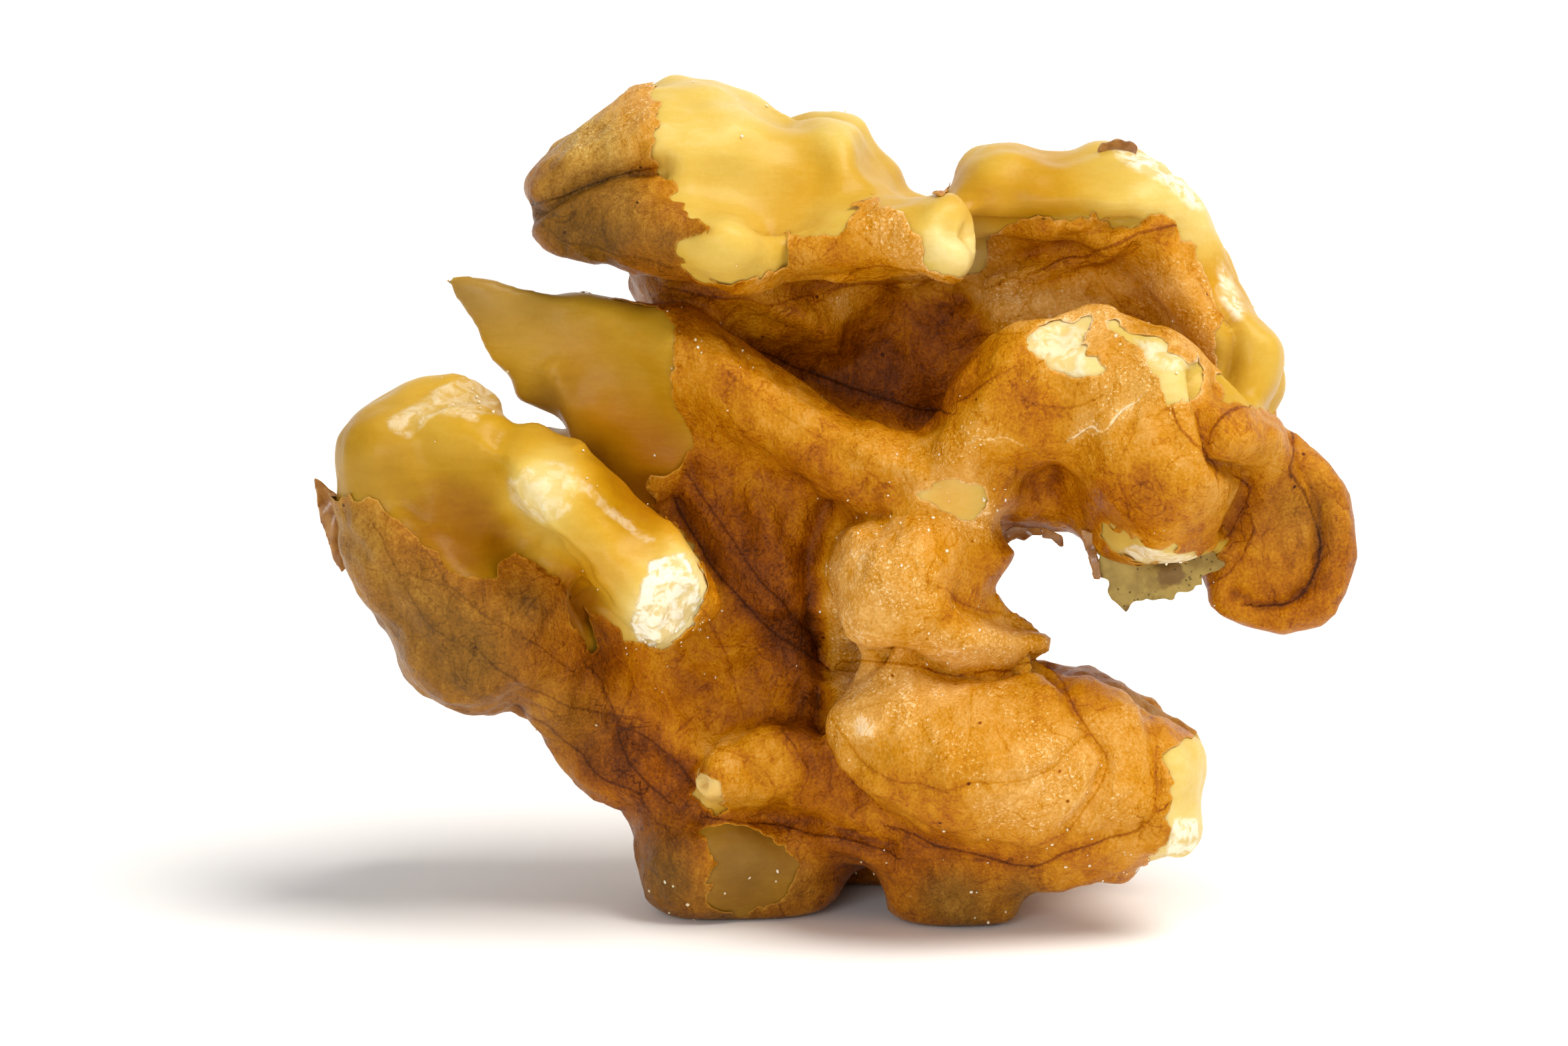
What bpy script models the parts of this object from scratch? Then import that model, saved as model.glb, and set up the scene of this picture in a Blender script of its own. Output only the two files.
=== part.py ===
"""Shelled walnut kernel half, standing on edge.

The row frame is in metres, +Z up. The inner side, with its open folds and the pointed root tip, faces -Y.
The outer side, with its brain-like ridges, faces +Y. The root tip points to -X.
Every place and radius below is in millimetres.
"""

import math

import bmesh
import bpy
import numpy as np
from mathutils import Vector

MM = 0.001

# Grid of the one closed surface that all folds are melted into, and how far it is swollen to round its creases
VOXEL = 0.28
CREASE_ROUNDING = 0.3
SMOOTH_STEPS = 3
FACES_KEPT = 11000

# Folds of the inner side: how much deeper along Y than high each is, then (x, y, z, radius) along its middle
INNER_FOLDS = {
    # upper lobe: two thick rims, and the small knobs on the left one
    "upper_left_rim": (1.2, [(-8.5, 1, 23.95, 2.2), (-5.7, 1.2, 24.6, 3.1), (-3.3, 1.2, 24.6, 2.8), (-1.3, 1.2, 23.9, 2.6),
                             (0.3, 1.2, 23.9, 2.75), (1.6, 1.2, 22.9, 1.85), (2.5, 1.2, 21.8, 1.4)]),
    "upper_left_front": (1.2, [(-8.8, -0.4, 23.1, 1.4), (-6.8, -1.6, 23.1, 1.35), (-4.8, -2.6, 23.0, 1.5),
                               (-3.3, -3.1, 22.8, 1.65)]),
    "upper_left_brow": (1.6, [(-3.1, -1.6, 23.2, 1.3), (-1.1, -1.4, 22.9, 1.35), (1.1, -1.8, 23.1, 1.3),
                              (3.2, -2.6, 23.3, 1.05)]),
    "upper_left_tip": (1.0, [(3.5, -3.0, 23.7, 1.05), (3.8, -3.8, 22.8, 1.05)]),
    "upper_right_rim": (1.4, [(4.9, 0.5, 23.5, 1.3), (5.8, 0.5, 24.3, 1.55), (7.3, 0.5, 23.7, 1.65),
                              (9.5, 0.5, 23.8, 1.85), (11.0, 0.5, 22.8, 1.7), (12.1, 0, 21.1, 1.45),
                              (13.4, -0.5, 19.5, 1.4), (14.0, -0.8, 18.3, 1.4)]),
    # fan that ends in the pointed root tip, and its raised upper edge
    "fan": (0.75, [(-12.5, -1, 21.35, 0.42), (-11.8, -0.9, 20.7, 0.72), (-11.0, -0.75, 20.0, 1.08),
                   (-9.8, -0.5, 19.15, 1.5), (-7.9, 0, 18.2, 2.15), (-5.6, 0.4, 16.5, 2.7), (-2.4, 0.5, 14.5, 3.2),
                   (-0.4, 0.5, 12.8, 3.2)]),
    "fan_edge": (1.4, [(-11.6, -0.9, 21.0, 0.4), (-10.3, -0.9, 20.5, 0.5), (-8.4, -0.9, 19.95, 0.5), (-6.0, -1.1, 19.35, 0.75),
                       (-4.2, -1.5, 18.5, 1.05), (-2.2, -2.0, 17.1, 1.3), (0.6, -2.8, 15.6, 1.25),
                       (3.3, -3.4, 14.4, 1.35)]),
    # lower lobe: the round lobe at the left, and the thick rim that crosses it
    "left_lobe": (1.1, [(-13.9, -1.3, 15.5, 2.5), (-13.0, -1.0, 13.1, 3.6), (-11.7, -0.6, 10.9, 4.2),
                        (-9.9, 0.2, 8.9, 3.0)]),
    "left_rim": (1.5, [(-12.3, -2.7, 16.8, 1.2), (-10.9, -3.5, 16.1, 1.3), (-9.2, -4.2, 14.9, 1.8),
                       (-7.3, -4.6, 13.1, 1.45), (-5.4, -5.0, 11.3, 1.6)]),
    "left_chip": (1.0, [(-12.7, -1.8, 17.4, 0.9), (-12.05, -1.3, 17.15, 0.75)]),
    "lower_body": (1.2, [(-7.6, 0.8, 6.8, 2.2), (-4.9, 1, 4.2, 2.7), (-1.6, 1, 2.9, 2.7)]),
    "left_foot": (1.0, [(-4.1, -0.8, 2.1, 2.6), (-1.3, -0.8, 1.4, 1.75)]),
    "right_foot": (1.1, [(3.4, -2, 1.4, 1.9), (5.0, -2, 1.1, 1.5)]),
    "knob_fold": (0.9, [(-3.2, -2.8, 5.6, 1.4), (-1.6, -2.9, 5.8, 1.6), (0.6, -2.9, 5.4, 1.5)]),
    "small_knob": (1.0, [(-3.9, -3.9, 4.9, 1.0), (-3.1, -3.2, 5.2, 1.1)]),
    # folds that come forward at the right
    "front_bulge": (1.2, [(3.5, -3.3, 13.4, 1.7), (2.3, -4.5, 11.7, 2.45), (4.4, -4.3, 10.5, 1.5),
                          (6.6, -3.9, 9.6, 0.7)]),
    "front_lobe": (0.9, [(1.9, -4.4, 7.1, 2.1), (4.4, -4.9, 6.1, 3.2), (7.4, -4.6, 5.8, 3.15), (9.4, -4.0, 5.1, 2.75),
                         (10.9, -3.4, 4.6, 2.3)]),
    "under_fold": (1.4, [(0, -2.2, 3.3, 1.2), (3.3, -2.8, 2.6, 1.2), (6.9, -3.0, 2.3, 1.1), (9.7, -3.0, 2.2, 0.8)]),
    "right_arch": (1.15, [(4.2, -3.6, 14.8, 1.5), (5.4, -3.8, 16.9, 1.9), (7.1, -4.2, 18.3, 2.1),
                          (9.4, -4.4, 17.8, 2.5), (10.8, -4.4, 15.9, 2.8), (11.3, -4.2, 14.1, 1.8)]),
    "right_knob": (1.0, [(13.7, -3.2, 16.1, 1.4), (14.3, -2.4, 15.3, 1.3)]),
    "right_disc": (0.8, [(13.9, -1, 12.9, 2.2), (14.7, -1, 12.2, 2.4)]),
    "right_rim": (1.0, [(14.6, -1.5, 16.2, 0.8), (15.9, -2, 14.9, 0.8), (16.5, -2, 13.0, 0.75), (16.2, -2, 11.2, 0.8),
                        (14.8, -2, 10.5, 0.8), (13.0, -2, 10.9, 0.7)]),
    "back_foot": (1.0, [(-1.2, 4.4, 1.6, 2.1), (1.6, 4.2, 1.2, 2.0)]),
}

# Rounded masses that the folds grow from, most of them on the outer side: centre and half sizes
MASSES = {
    "centre": ((-2.7, 1, 11.4), (4.0, 3.0, 4.5)),
    "centre_back": ((-0.6, 3.6, 12.7), (5.9, 3.6, 5.3)),
    "upper_left_back": ((-1.8, 3.8, 21.5), (5.4, 3.5, 4.0)),
    "upper_right_back": ((8.1, 3.8, 19.0), (5.3, 3.6, 4.8)),
    "upper_web": ((3.6, 4.2, 18.6), (3.4, 2.4, 4.0)),
    "cavity_back": ((1.6, 4.6, 16.0), (5.6, 2.6, 4.4)),
    "lower_left_back": ((-7.4, 3.0, 10.4), (6.8, 4.0, 5.0)),
    "lower_back": ((-2.4, 3.4, 6.6), (4.6, 4.0, 4.4)),
    "lower_right_back": ((5.0, 1.8, 4.5), (7.0, 4.6, 3.4)),
    "lower_centre": ((0, 0.5, 5.2), (4.2, 3.4, 3.8)),
    "right_back": ((10.4, 1.6, 16.1), (4.5, 4.0, 3.5)),
    "right_under": ((6.8, 0.2, 14.9), (2.8, 3.0, 2.4)),
    "right_front": ((10.5, -2.6, 14.4), (2.9, 2.4, 2.5)),
}

# Grooves that wind over the outer side between its folds: spacing and seed of each set, then depth and width
OUTER_GROOVES = ((7.0, 11, 1.0, 0.34), (5.2, 5, 0.55, 0.26))
OUTER_FROM, OUTER_TO = 0.4, 3.0
# Low swells over everything: how far apart, how high, seed
SWELLS = ((8.0, 0.22, 3), (3.4, 0.10, 8))

# Broken ends: middle of the break, the way it faces, and how far round it the surface is cut flat
BREAKS = {
    "left_rim_end": ((-4.7, -5.9, 10.9), (0.62, -0.7, -0.35), 2.6),
    "left_rim_top": ((-9.4, -6.2, 15.7), (-0.15, -0.75, 0.65), 1.7),
    "small_knob_end": ((-4.4, -4.5, 4.8), (-0.75, -0.65, 0.05), 1.4),
    "front_lobe_end": ((12.6, -3.6, 4.3), (0.95, -0.3, 0.05), 3.6),
    "right_arch_top": ((8.6, -5.2, 20.0), (-0.1, -0.5, 0.86), 1.9),
}

# Height at which the three feet are worn flat, before the finished kernel is moved onto its own floor
FLOOR = -0.1


def smooth_line(points, steps=6):
    """Catmull-Rom points through the given ones, each a Vector of x, y, z and radius."""
    knots = [Vector(p) for p in points]
    knots = [2 * knots[0] - knots[1], *knots, 2 * knots[-1] - knots[-2]]
    line = []
    for a, b, c, d in zip(knots, knots[1:], knots[2:], knots[3:]):
        for step in range(steps):
            t = step / steps
            line.append(0.5 * (2 * b + (c - a) * t + (2 * a - 5 * b + 4 * c - d) * t * t
                               + (3 * b - a - 3 * c + d) * t ** 3))
    line.append(knots[-2])
    return line


def cap_ring(ring, way, angle):
    """The ring that stands at this angle on the round end of a fold."""
    centre, radius, along, side, back = ring
    return (centre + along * way * radius * math.sin(angle), radius * math.cos(angle), along, side, back)


def add_fold(mesh, points, depth_ratio, sides=16, cap_rings=3):
    """One closed ridge with round ends, deeper along Y than it is high by depth_ratio."""
    line = smooth_line(points)
    rings = []
    for i, knot in enumerate(line):
        ahead, behind = line[min(i + 1, len(line) - 1)], line[max(i - 1, 0)]
        along = (ahead - behind).to_3d().normalized()
        back = (Vector((0, 1, 0)) - along * along.y).normalized()
        side = along.cross(back)
        rings.append((knot.to_3d(), knot[3], along, side, back))
    start = [cap_ring(rings[0], -1, math.pi / 2 * k / cap_rings) for k in range(cap_rings - 1, 0, -1)]
    end = [cap_ring(rings[-1], 1, math.pi / 2 * k / cap_rings) for k in range(1, cap_rings)]
    loops = []
    for centre, radius, along, side, back in [*start, *rings, *end]:
        loop = []
        for k in range(sides):
            turn = 2 * math.pi * k / sides
            reach = side * math.cos(turn) + back * math.sin(turn) * depth_ratio
            loop.append(mesh.verts.new((centre + reach * radius) * MM))
        loops.append(loop)
    for near, far in zip(loops, loops[1:]):
        for k in range(sides):
            mesh.faces.new((near[k], near[k - 1], far[k - 1], far[k]))
    for loop, ring, way in ((loops[0], rings[0], -1), (loops[-1], rings[-1], 1)):
        pole = mesh.verts.new((ring[0] + ring[2] * ring[1] * way) * MM)
        for k in range(sides):
            corners = (loop[k], loop[k - 1], pole)
            mesh.faces.new(corners if way > 0 else corners[::-1])


def add_mass(mesh, centre, half):
    """One ellipsoid."""
    made = bmesh.ops.create_icosphere(mesh, subdivisions=4, radius=1)
    for vert in made["verts"]:
        vert.co = Vector([centre[i] + vert.co[i] * half[i] for i in range(3)]) * MM


def add_object(name, data):
    made = bpy.data.objects.new(name, data)
    bpy.context.scene.collection.objects.link(made)
    return made


def melt(form, name, offset=0, steps=SMOOTH_STEPS):
    """Melts what overlaps into one surface, softens it, and swells or shrinks it by offset."""
    remesh = form.modifiers.new(name, "REMESH")
    remesh.mode = "VOXEL"
    remesh.voxel_size = VOXEL * MM
    remesh.use_smooth_shade = True
    soften = form.modifiers.new(name + "_soften", "SMOOTH")
    soften.factor = 0.5
    soften.iterations = steps
    if offset:
        swell = form.modifiers.new(name + "_swell", "DISPLACE")
        swell.strength = offset * MM
        swell.mid_level = 0


def finished(form):
    """The form's mesh with its modifiers done, and the form removed."""
    data = bpy.data.meshes.new_from_object(form.evaluated_get(bpy.context.evaluated_depsgraph_get()))
    bpy.data.objects.remove(form)
    return data


def keep_outer(data):
    """Drops every closed surface but the largest, so nothing is sealed inside."""
    mesh = bmesh.new()
    mesh.from_mesh(data)
    left, shells = set(mesh.verts), []
    while left:
        shell, edge = set(), [left.pop()]
        while edge:
            vert = edge.pop()
            shell.add(vert)
            for link in vert.link_edges:
                other = link.other_vert(vert)
                if other in left:
                    left.remove(other)
                    edge.append(other)
        shells.append(shell)
    shells.sort(key=len)
    for shell in shells[:-1]:
        bmesh.ops.delete(mesh, geom=list(shell), context="VERTS")
    mesh.to_mesh(data)
    mesh.free()


def points_of(data, kind="co"):
    """The mesh's points in millimetres, or its normals."""
    values = np.empty(len(data.vertices) * 3)
    data.vertices.foreach_get(kind, values)
    return values.reshape(-1, 3) / (MM if kind == "co" else 1)


def set_points(data, points):
    data.vertices.foreach_set("co", (points * MM).ravel())
    data.update()


def waves(points, spacing, seed, count=28):
    """A smooth uneven value at each point, about one unit strong, with folds of this spacing."""
    chance = np.random.RandomState(seed)
    ways = chance.normal(size=(count, 3))
    ways *= 2 * np.pi / spacing / np.linalg.norm(ways, axis=1, keepdims=True)
    return np.cos(points @ ways.T + chance.uniform(0, 2 * np.pi, count)).sum(axis=1) * math.sqrt(2 / count)


def eased(low, high, value):
    part = np.clip((value - low) / (high - low), 0, 1)
    return part * part * (3 - 2 * part)


def shape(points, normals):
    """Winding grooves on the outer side, low swells everywhere, broken ends and the worn feet."""
    outer = eased(OUTER_FROM, OUTER_TO, points[:, 1]) * eased(-0.3, 0.3, normals[:, 1])
    rise = outer * 0.5
    for spacing, seed, depth, width in OUTER_GROOVES:
        rise -= outer * depth * np.exp(-(waves(points, spacing, seed) / width) ** 2)
    for spacing, height, seed in SWELLS:
        rise += height * waves(points, spacing, seed)
    points = points + normals * rise[:, None]
    for middle, way, reach in BREAKS.values():
        way = np.array(way) / np.linalg.norm(way)
        beyond = (points - middle) @ way
        near = np.linalg.norm(points - middle, axis=1) < reach
        points -= way * np.where(near, np.maximum(beyond, 0), 0)[:, None]
    points[:, 2] = np.maximum(points[:, 2], FLOOR)
    return points


def kernel_material():
    material = bpy.data.materials.new("walnut_kernel")
    material.use_nodes = True
    shader = material.node_tree.nodes["Principled BSDF"]
    shader.inputs["Base Color"].default_value = (0.56, 0.29, 0.09, 1)
    shader.inputs["Roughness"].default_value = 0.5
    shader.inputs["Metallic"].default_value = 0
    return material


def build_kernel():
    mesh = bmesh.new()
    for depth_ratio, points in INNER_FOLDS.values():
        add_fold(mesh, points, depth_ratio)
    for centre, half in MASSES.values():
        add_mass(mesh, centre, half)
    data = bpy.data.meshes.new("forms")
    mesh.to_mesh(data)
    mesh.free()
    form = add_object("forms", data)
    melt(form, "melt", CREASE_ROUNDING)
    melt(form, "melt_again", -CREASE_ROUNDING)
    melt(form, "even_out")
    data = finished(form)
    keep_outer(data)
    set_points(data, shape(points_of(data), points_of(data, "normal")))

    form = add_object("shaped", data)
    melt(form, "melt", steps=1)
    data = finished(form)
    keep_outer(data)
    form = add_object("shaped", data)
    data.calc_loop_triangles()
    thin = form.modifiers.new("thin", "DECIMATE")
    thin.ratio = min(1, FACES_KEPT / len(data.loop_triangles))
    data = finished(form)
    points = points_of(data)
    floor = points[:, 2].min()
    points[:, 2] = np.where(points[:, 2] < floor + 0.08, floor, points[:, 2])
    low, high = points.min(axis=0), points.max(axis=0)
    moved = np.array(((low[0] + high[0]) / 2, (low[1] + high[1]) / 2, low[2]))
    set_points(data, points - moved)
    print("moved by", [round(-v, 3) for v in moved])
    data.name = "kernel"
    data.materials.clear()
    data.materials.append(kernel_material())
    data.shade_smooth()
    bpy.context.scene["moved"] = [float(-v * MM) for v in moved]
    return add_object("kernel", data)


for old in list(bpy.data.objects):
    bpy.data.objects.remove(old)
build_kernel()
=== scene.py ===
import math

import bmesh
import bpy
import numpy as np
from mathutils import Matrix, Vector


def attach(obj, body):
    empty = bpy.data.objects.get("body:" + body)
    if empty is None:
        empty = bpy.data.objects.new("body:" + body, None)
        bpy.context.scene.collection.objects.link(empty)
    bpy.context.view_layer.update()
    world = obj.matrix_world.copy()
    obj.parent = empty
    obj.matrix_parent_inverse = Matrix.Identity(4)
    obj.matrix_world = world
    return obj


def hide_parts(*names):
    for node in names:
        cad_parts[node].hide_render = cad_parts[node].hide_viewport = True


mm = 0.001

# The view that every pixel place below belongs to: 45 pixels to the millimetre at the aim, in millimetres
shot = {
    "size": (2351, 1568),
    "perMm": 45.0,
    "distance": 250.0,
    "elevation": math.radians(10),
    "aim": np.array((-2.048, -0.14, 13.144)),
}
shotBack = np.array((0, -math.cos(shot["elevation"]), math.sin(shot["elevation"])))
shotUp = np.array((0, math.sin(shot["elevation"]), math.cos(shot["elevation"])))


# Numbers and fields

def linearColour(code):
    parts = [int(code[i:i + 2], 16) / 255 for i in (1, 3, 5)]
    return (*[p / 12.92 if p <= 0.04045 else ((p + 0.055) / 1.055) ** 2.4 for p in parts], 1)


def eased(low, high, value):
    part = np.clip((value - low) / (high - low), 0, 1)
    return part * part * (3 - 2 * part)


def waves(points, spacing, seed, count=26):
    # a smooth uneven value at each point, about one unit strong, its swells this many millimetres apart
    chance = np.random.RandomState(seed)
    ways = chance.normal(size=(count, 3))
    ways *= 2 * np.pi / spacing / np.linalg.norm(ways, axis=1, keepdims=True)
    return np.cos(points @ ways.T + chance.uniform(0, 2 * np.pi, count)).sum(axis=1) * math.sqrt(2 / count)


def swelled(points, swells):
    # swells laid over one another, each the millimetres apart, its strength and its seed
    return sum(strength * waves(points, spacing, seed) for spacing, strength, seed in swells)


def toPixels(points):
    fromAim = points - shot["aim"]
    near = shot["perMm"] * shot["distance"] / (shot["distance"] - fromAim @ shotBack)
    return np.column_stack([shot["size"][0] / 2 + fromAim[:, 0] * near,
                            shot["size"][1] / 2 - fromAim @ shotUp * near])


shotEye = shot["aim"] + shotBack * shot["distance"]


def sightLines(pixels):
    across = (pixels[:, 0] - shot["size"][0] / 2) / shot["perMm"] / shot["distance"]
    upward = (shot["size"][1] / 2 - pixels[:, 1]) / shot["perMm"] / shot["distance"]
    return across[:, None] * np.array((1, 0, 0)) + upward[:, None] * shotUp - shotBack


def fromPixels(pixels, depths):
    # the points in millimetres that show at these pixels and lie at these depths along Y
    ways = sightLines(pixels)
    return shotEye + ways * ((depths - shotEye[1]) / ways[:, 1])[:, None]


def smoothLine(points, steps=5):
    knots = [np.array(p, float) for p in points]
    knots = [2 * knots[0] - knots[1], *knots, 2 * knots[-1] - knots[-2]]
    line = []
    for a, b, c, d in zip(knots, knots[1:], knots[2:], knots[3:]):
        for step in range(steps):
            t = step / steps
            line.append(0.5 * (2 * b + (c - a) * t + (2 * a - 5 * b + 4 * c - d) * t * t
                               + (3 * b - a - 3 * c + d) * t ** 3))
    return np.array([*line, knots[-2]])


def lineDistance(pixels, line):
    nearest = np.full(len(pixels), 1e9)
    for a, b in zip(line, line[1:]):
        along = b - a
        t = np.clip((pixels - a) @ along / max(along @ along, 1e-9), 0, 1)
        nearest = np.minimum(nearest, np.linalg.norm(pixels - a - t[:, None] * along, axis=1))
    return nearest / shot["perMm"]


def insideBy(pixels, outline):
    # how far inside the outline each pixel is, in millimetres, below zero outside it
    corners = np.array([*outline, outline[0]], float)
    inside = np.zeros(len(pixels), bool)
    for a, b in zip(corners, corners[1:]):
        crosses = (a[1] > pixels[:, 1]) != (b[1] > pixels[:, 1])
        reach = a[0] + (pixels[:, 1] - a[1]) / (b[1] - a[1] + 1e-9) * (b[0] - a[0])
        inside ^= crosses & (pixels[:, 0] < reach)
    return np.where(inside, 1, -1) * lineDistance(pixels, corners)


def spotted(pixels, spots):
    # soft spots of paint, each x, y, radius in pixels and how strong it is
    total = np.zeros(len(pixels))
    for x, y, radius, amount in spots:
        total += amount * np.exp(-((pixels[:, 0] - x) ** 2 + (pixels[:, 1] - y) ** 2) / radius ** 2)
    return np.clip(total, 0, 1)


def blended(pixels, spots, middle):
    # a tone that takes each spot's value near it and eases to the middle tone elsewhere;
    # a spot is x, y, radius in pixels and its tone
    total, weight = np.full(len(pixels), middle * 0.08), np.full(len(pixels), 0.08)
    for x, y, radius, value in spots:
        near = np.exp(-((pixels[:, 0] - x) ** 2 + (pixels[:, 1] - y) ** 2) / radius ** 2)
        total += near * value
        weight += near
    return total / weight


def lineFields(pixels, lines):
    # beside drawn lines: millimetres to the nearest, below zero on its one side, and its strength close by
    nearest, signed, strength = np.full(len(pixels), 1e9), np.full(len(pixels), 1e9), np.zeros(len(pixels))
    for strong, points in lines:
        line = smoothLine(points, 4)
        for a, b in zip(line, line[1:]):
            along = b - a
            t = np.clip((pixels - a) @ along / max(along @ along, 1e-9), 0, 1)
            away = pixels - a - t[:, None] * along
            far = np.hypot(away[:, 0], away[:, 1])
            closer = far < nearest
            side = np.where(along[0] * away[:, 1] - along[1] * away[:, 0] < 0, -1, 1)
            nearest = np.where(closer, far, nearest)
            signed = np.where(closer, far * side, signed)
            strength = np.where(closer, strong, strength)
    nearest, signed = nearest / shot["perMm"], signed / shot["perMm"]
    return np.clip(signed, -0.6, 0.6), strength * eased(0.5, 0.3, nearest)


# Meshes

def pointsOf(data, kind="co"):
    values = np.empty(len(data.vertices) * 3)
    data.vertices.foreach_get(kind, values)
    return values.reshape(-1, 3) / (mm if kind == "co" else 1)


def trianglesOf(data):
    data.calc_loop_triangles()
    values = np.empty(len(data.loop_triangles) * 3, np.int32)
    data.loop_triangles.foreach_get("vertices", values)
    return values.reshape(-1, 3)


def edgesOf(triangles):
    edges = np.sort(np.vstack([triangles[:, [0, 1]], triangles[:, [1, 2]], triangles[:, [2, 0]]]), axis=1)
    return np.unique(edges, axis=0)


def averaged(values, edges, times):
    # each value eased towards the mean of its neighbours, this many times
    counts = np.maximum(np.bincount(edges.ravel(), minlength=len(values)), 1)
    values = values.copy()
    flat = values.reshape(len(values), -1)
    for _ in range(times):
        for k in range(flat.shape[1]):
            total = np.bincount(edges[:, 0], flat[edges[:, 1], k], len(flat))
            total += np.bincount(edges[:, 1], flat[edges[:, 0], k], len(flat))
            flat[:, k] += 0.5 * (total / counts - flat[:, k])
    return values


def normalsOf(points, triangles):
    across = np.cross(points[triangles[:, 1]] - points[triangles[:, 0]],
                      points[triangles[:, 2]] - points[triangles[:, 0]])
    normals = np.zeros_like(points)
    for corner in range(3):
        for k in range(3):
            normals[:, k] += np.bincount(triangles[:, corner], across[:, k], len(points))
    return normals / np.maximum(np.linalg.norm(normals, axis=1, keepdims=True), 1e-12)


def makePiece(name, points, triangles, material, values=None):
    data = bpy.data.meshes.new(name)
    data.from_pydata((points * mm).tolist(), [], triangles.tolist())
    for key, numbers in (values or {}).items():
        data.attributes.new(key, "FLOAT", "POINT").data.foreach_set("value", numbers.astype(np.float32))
    data.materials.append(material)
    data.shade_smooth()
    data.update()
    piece = bpy.data.objects.new(name, data)
    bpy.context.scene.collection.objects.link(piece)
    return piece


def baked(piece):
    # the piece's modifiers become its plain mesh
    graph = bpy.context.evaluated_depsgraph_get()
    data = bpy.data.meshes.new_from_object(piece.evaluated_get(graph), depsgraph=graph)
    piece.modifiers.clear()
    piece.data = data
    data.name = piece.name


def cutOut(points, triangles, field):
    # the part of a surface where the field is above zero, cut along the line where it is zero
    field = np.where(np.abs(field) < 0.01, 0.01, field)
    keep = field > 0
    above = keep[triangles].sum(axis=1)
    whole = triangles[above == 3]
    made, added = {}, []

    def crossing(a, b):
        key = (min(a, b), max(a, b))
        if key not in made:
            share = field[key[0]] / (field[key[0]] - field[key[1]])
            made[key] = len(points) + len(added)
            added.append((*key, share))
        return made[key]

    cut, rim = [], []
    for triangle in triangles[(above == 1) | (above == 2)].tolist():
        for turn in range(3):
            a, b, c = triangle[turn], triangle[turn - 2], triangle[turn - 1]
            if keep[a] and not keep[b] and not keep[c]:
                ab, ac = crossing(a, b), crossing(a, c)
                cut.append((a, ab, ac))
                rim.append((ab, ac))
            elif not keep[a] and keep[b] and keep[c]:
                ab, ac = crossing(a, b), crossing(a, c)
                cut += [(ab, b, c), (ab, c, ac)]
                rim.append((ac, ab))
    added = np.array(added)
    first, second, share = added[:, 0].astype(int), added[:, 1].astype(int), added[:, 2]
    triangles = np.vstack([whole, np.array(cut)])
    used, where = np.unique(triangles, return_inverse=True)
    rim = np.searchsorted(used, np.array(rim))

    def carried(values):
        part = share.reshape(-1, *[1] * (values.ndim - 1))
        return np.concatenate([values, values[first] * (1 - part) + values[second] * part])[used]

    return carried, where.reshape(-1, 3), rim


def thickened(front, triangles, rim, thickness):
    # a sheet with a back and a rim, from its front surface
    normals = normalsOf(front, triangles)
    back = len(front)
    sides = np.vstack([np.column_stack([rim[:, 1], rim[:, 0], rim[:, 0] + back]),
                       np.column_stack([rim[:, 1], rim[:, 0] + back, rim[:, 1] + back])])
    return (np.vstack([front, front - normals * thickness]),
            np.vstack([triangles, triangles[:, ::-1] + back, sides]))


def sheetTo(outline, depth, seed, ragged):
    # a thin uneven sheet that shows with this outline in pixels, at about this depth along Y
    outline, spacing = np.array(outline, float), 4.0
    columns = np.arange(outline[:, 0].min() - 12, outline[:, 0].max() + 12, spacing)
    rows = np.arange(outline[:, 1].min() - 12, outline[:, 1].max() + 12, spacing)
    flat = np.stack(np.meshgrid(columns, rows), axis=-1).reshape(-1, 2)
    corner = (np.arange(len(rows) - 1)[:, None] * len(columns) + np.arange(len(columns) - 1)).ravel()
    below = corner + len(columns)
    triangles = np.vstack([np.column_stack([corner, below, corner + 1]),
                           np.column_stack([corner + 1, below, below + 1])])
    place = np.column_stack([flat / shot["perMm"], np.zeros(len(flat))])
    field = insideBy(flat, outline) + ragged * waves(place, 0.5, seed)
    carried, triangles, rim = cutOut(flat, triangles, field)
    flat = carried(flat)
    return fromPixels(flat, depth + 0.08 * waves(carried(place), 1.1, seed + 1)), triangles, rim


def gathered(parts):
    # several (points, triangles) as one
    points, triangles, count = [], [], 0
    for some, faces in parts:
        points.append(some)
        triangles.append(faces + count)
        count += len(some)
    return np.vstack(points), np.vstack(triangles)


# Materials

def addNode(tree, kind, settings=None, links=None):
    node = tree.nodes.new(kind)
    for key, value in (settings or {}).items():
        if key in node.inputs:
            node.inputs[key].default_value = value
        else:
            setattr(node, key, value)
    for key, value in (links or {}).items():
        tree.links.new(value, node.inputs[key])
    return node


def newMaterial(name, settings):
    material = bpy.data.materials.new(name)
    material.use_nodes = True
    tree = material.node_tree
    tree.nodes.clear()
    shader = addNode(tree, "ShaderNodeBsdfPrincipled", settings)
    addNode(tree, "ShaderNodeOutputMaterial", links={"Surface": shader.outputs["BSDF"]})
    return material, tree, shader


def objectPlace(tree, stretch=(1, 1, 1)):
    place = addNode(tree, "ShaderNodeTexCoord").outputs["Object"]
    if stretch == (1, 1, 1):
        return place
    return addNode(tree, "ShaderNodeMapping", {"Scale": stretch}, {"Vector": place}).outputs["Vector"]


def noiseAt(tree, place, size, detail=4.0, roughness=0.55, distortion=0.0):
    # size is how many millimetres one blot spans
    settings = {"Scale": 1000 / size, "Detail": detail, "Roughness": roughness, "Distortion": distortion}
    return addNode(tree, "ShaderNodeTexNoise", settings, {"Vector": place}).outputs["Fac"]


def ranged(tree, value, low, high, out=(0, 1)):
    settings = {"From Min": low, "From Max": high, "To Min": out[0], "To Max": out[1]}
    node = addNode(tree, "ShaderNodeMapRange", settings, {"Value": value})
    node.interpolation_type = "SMOOTHSTEP"
    return node.outputs["Result"]


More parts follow.
